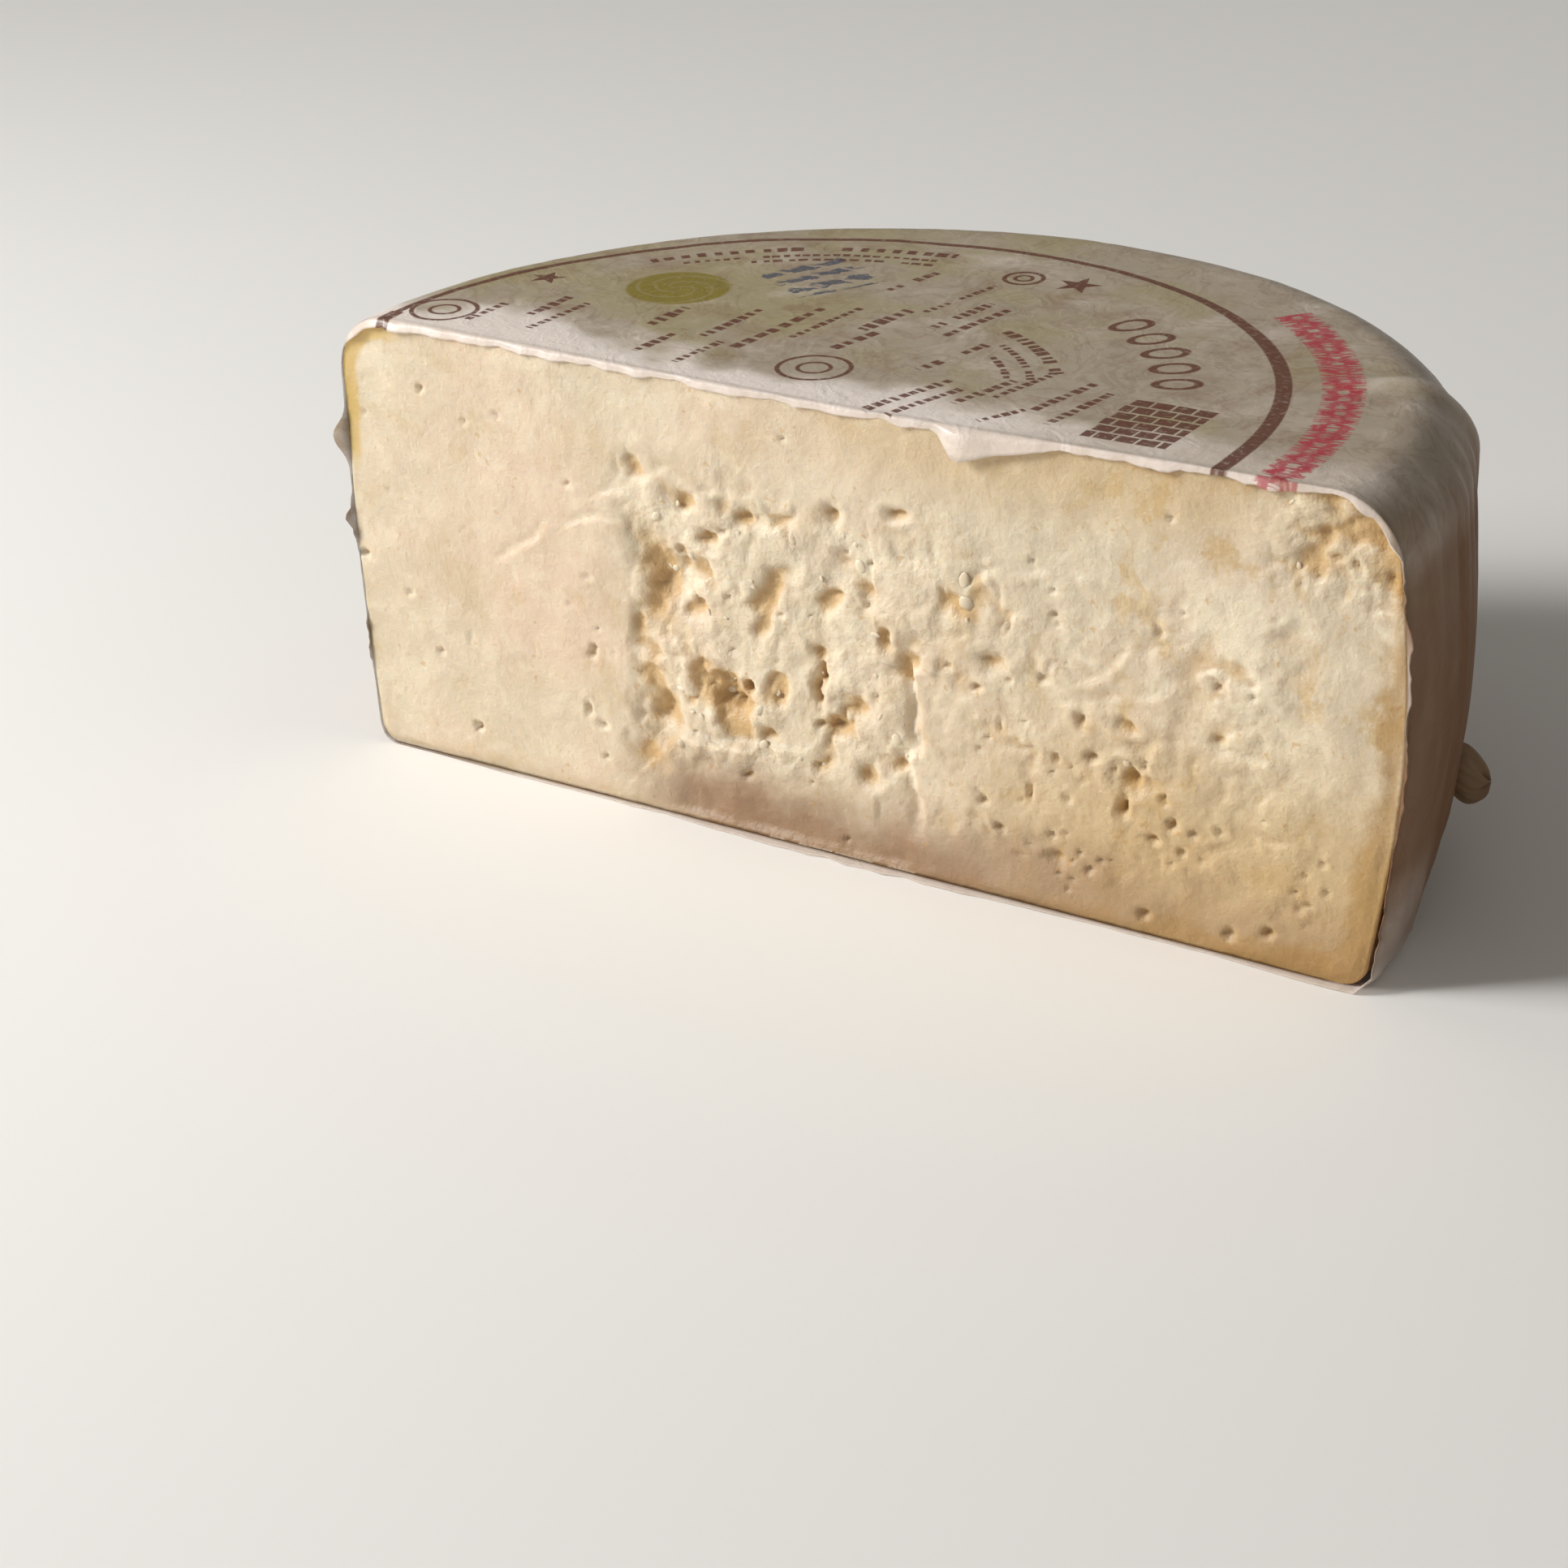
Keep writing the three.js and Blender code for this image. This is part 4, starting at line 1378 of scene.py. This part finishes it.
def blue_bars(nodes, x, y):
    """A few slanted bars, broken across."""
    mx, my, width, depth = BLUE_BARS
    along, across = turned(x, y, mx, my, 62)
    uneven = nodes.noise(nodes.flat(x, y), 0.30, 3.0) - 0.5
    inside = abs(along + uneven * 9).step(width / 2 + 0.5, width / 2 - 0.5) * abs(across).under(depth / 2)
    bar = (across / 5.2 + 40 + uneven * 0.9).math("FRACT").step(0.62, 0.44)
    gap = (along / 7.3 + 40 + across * 0.11 + uneven).math("FRACT").step(0.1, 0.26)
    return inside * bar * gap


def ribbon(nodes, away, angle):
    """Two crossing wavy lines with short ticks across them."""
    radius, low, high = RIBBON
    run = angle * radius
    inside = angle.over(math.radians(low)) * angle.under(math.radians(high))
    run = run + (nodes.add("ShaderNodeTexNoise", {"noise_dimensions": "1D"}, {"W": run * 0.31}) - 0.5) * 6
    line = abs(away - radius - (run * 0.85).math("SINE") * 2.1).step(1.5, 0.9)
    second = abs(away - radius + (run * 0.85).math("SINE") * 2.1).step(1.2, 0.7)
    ticks = abs(away - radius).step(3.9, 3.4) * (run / 2.6 + 90).math("FRACT").step(0.5, 0.4)
    return inside * line.most(second * 0.9).most(ticks * 0.85)


class CHEESE_OT_film(bpy.types.Operator):
    """Make the wrapping film, with its free edge along the cut and its gathered end"""

    bl_idname = "cheese.make_film"
    bl_label = "Wrapping Film"

    def execute(self, context):
        wheel, settings = context.scene.wheel_settings, context.scene.film_settings
        points, faces, loose, clear = film_shell(wheel, settings)
        end_points, end_quads, end_caps = gathered_end(wheel, settings)
        first = len(points)
        rings = (end_quads + first).tolist() + (end_caps + first).tolist()
        points = np.concatenate([points, end_points])
        loose = np.concatenate([loose, np.full(len(end_points), GATHER_LOOSE)])
        clear = np.concatenate([clear, np.zeros(len(end_points))])
        mesh = closed_mesh("film", points, faces.tolist() + rings, {"loose": loose, "clear": clear})
        film = shown("film", mesh, film_material(settings))
        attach(film, "root")
        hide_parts("wrapping_film")
        return {"FINISHED"}


# ---- The stage ----


KEY_PLACE, KEY_SIZE = (-0.72, -0.55, 0.52), 0.44
FILL_PLACE, FILL_SIZE = (0.9, -1.4, 1.3), 1.6
SUN_PLACE, SUN_ANGLE = (-1.3, -1.0, 0.92), math.radians(14)  # only its direction counts
CAMERA_AIM = (-0.0232, CUT_Y + 0.0199, 0.0003)
SENSOR_WIDTH = 36  # mm
SKY = (1.0, 0.965, 0.91, 1)


def make_floor(settings):
    """A plain round floor that the wheel rests on."""
    work = bmesh.new()
    bmesh.ops.create_circle(work, cap_ends=True, segments=96, radius=settings.floor_radius)
    mesh = bpy.data.meshes.new("floor")
    work.to_mesh(mesh)
    work.free()
    material, nodes = new_material("plain_floor")
    finish_material(nodes, Base_Color=(*settings.floor_colour, 1), Roughness=0.8)
    floor = shown("floor", mesh, material)


def make_light(name, power, size, place, aim):
    """A square soft light at place that faces aim."""
    lamp = bpy.data.lights.new(name, "AREA")
    lamp.energy, lamp.size = power, size
    light = bpy.data.objects.new(name, lamp)
    light.location = place
    light.rotation_euler = (Vector(aim) - Vector(place)).to_track_quat("-Z", "Y").to_euler()
    bpy.context.scene.collection.objects.link(light)


def make_sun(name, power, place):
    """A soft distant light that shines from place towards the origin."""
    lamp = bpy.data.lights.new(name, "SUN")
    lamp.energy, lamp.angle = power, SUN_ANGLE
    light = bpy.data.objects.new(name, lamp)
    light.rotation_euler = Vector(place).to_track_quat("Z", "Y").to_euler()
    bpy.context.scene.collection.objects.link(light)


def make_camera(settings):
    """The camera, set by the point that it looks at and the way round and up from there."""
    data = bpy.data.cameras.new("camera")
    data.lens, data.sensor_width = settings.lens, SENSOR_WIDTH
    data.clip_start, data.clip_end = 0.01, 100
    camera = bpy.data.objects.new("camera", data)
    tilt = Matrix.Rotation(math.pi / 2 - settings.elevation, 4, "X")
    turn = Matrix.Rotation(settings.azimuth, 4, "Z") @ tilt @ Matrix.Rotation(settings.roll, 4, "Z")
    back = Matrix.Translation((0, 0, settings.distance))
    camera.matrix_world = Matrix.Translation(CAMERA_AIM) @ turn @ back
    bpy.context.scene.collection.objects.link(camera)
    bpy.context.scene.camera = camera


def make_surroundings(settings):
    """Plain pale surroundings, and a view that shows the colours as they are."""
    world = bpy.data.worlds.new("surroundings")
    world.use_nodes = True
    background = world.node_tree.nodes["Background"]
    background.inputs["Color"].default_value = SKY
    background.inputs["Strength"].default_value = settings.ambient
    bpy.context.scene.world = world
    bpy.context.scene.view_settings.view_transform = "Standard"


class CHEESE_OT_stage(bpy.types.Operator):
    """Make the floor, the lights, the surroundings and the camera"""

    bl_idname = "cheese.make_stage"
    bl_label = "Stage"

    def execute(self, context):
        settings = context.scene.stage_settings
        make_camera(settings)
        make_floor(settings)
        middle = (0, 0, CHEESE_HEIGHT / 2)
        make_light("key", settings.key_power, KEY_SIZE, KEY_PLACE, middle)
        make_sun("distant_key", settings.sun_power, SUN_PLACE)
        make_light("fill", settings.fill_power, FILL_SIZE, FILL_PLACE, middle)
        make_surroundings(settings)
        return {"FINISHED"}


class CHEESE_PT_panel(bpy.types.Panel):
    """Lists the settings and the operators"""

    bl_idname = "CHEESE_PT_panel"
    bl_label = "Cheese Wheel"
    bl_space_type = "VIEW_3D"
    bl_region_type = "UI"
    bl_category = "Cheese"

    def draw(self, context):
        for group in GROUPS:
            box = self.layout.box()
            settings = getattr(context.scene, group)
            for name in settings.__annotations__:
                box.prop(settings, name)
        for operator in OPERATORS:
            self.layout.operator(operator.bl_idname)


GROUPS = {
    "wheel_settings": WheelSettings,
    "cheese_settings": CheeseSettings,
    "crumb_settings": CrumbSettings,
    "film_settings": FilmSettings,
    "stage_settings": StageSettings,
}
OPERATORS = (CHEESE_OT_stage, CHEESE_OT_cheese, CHEESE_OT_crumbs, CHEESE_OT_film)


def register():
    for name, group in GROUPS.items():
        bpy.utils.register_class(group)
        setattr(bpy.types.Scene, name, PointerProperty(type=group))
    for operator in OPERATORS:
        bpy.utils.register_class(operator)
    bpy.utils.register_class(CHEESE_PT_panel)


def unregister():
    bpy.utils.unregister_class(CHEESE_PT_panel)
    for operator in reversed(OPERATORS):
        bpy.utils.unregister_class(operator)
    for name, group in GROUPS.items():
        delattr(bpy.types.Scene, name)
        bpy.utils.unregister_class(group)


def main():
    register()
    bpy.ops.cheese.make_stage()
    bpy.ops.cheese.make_cheese()
    bpy.ops.cheese.make_crumbs()
    bpy.ops.cheese.make_film()


if __name__ == "__main__":
    main()
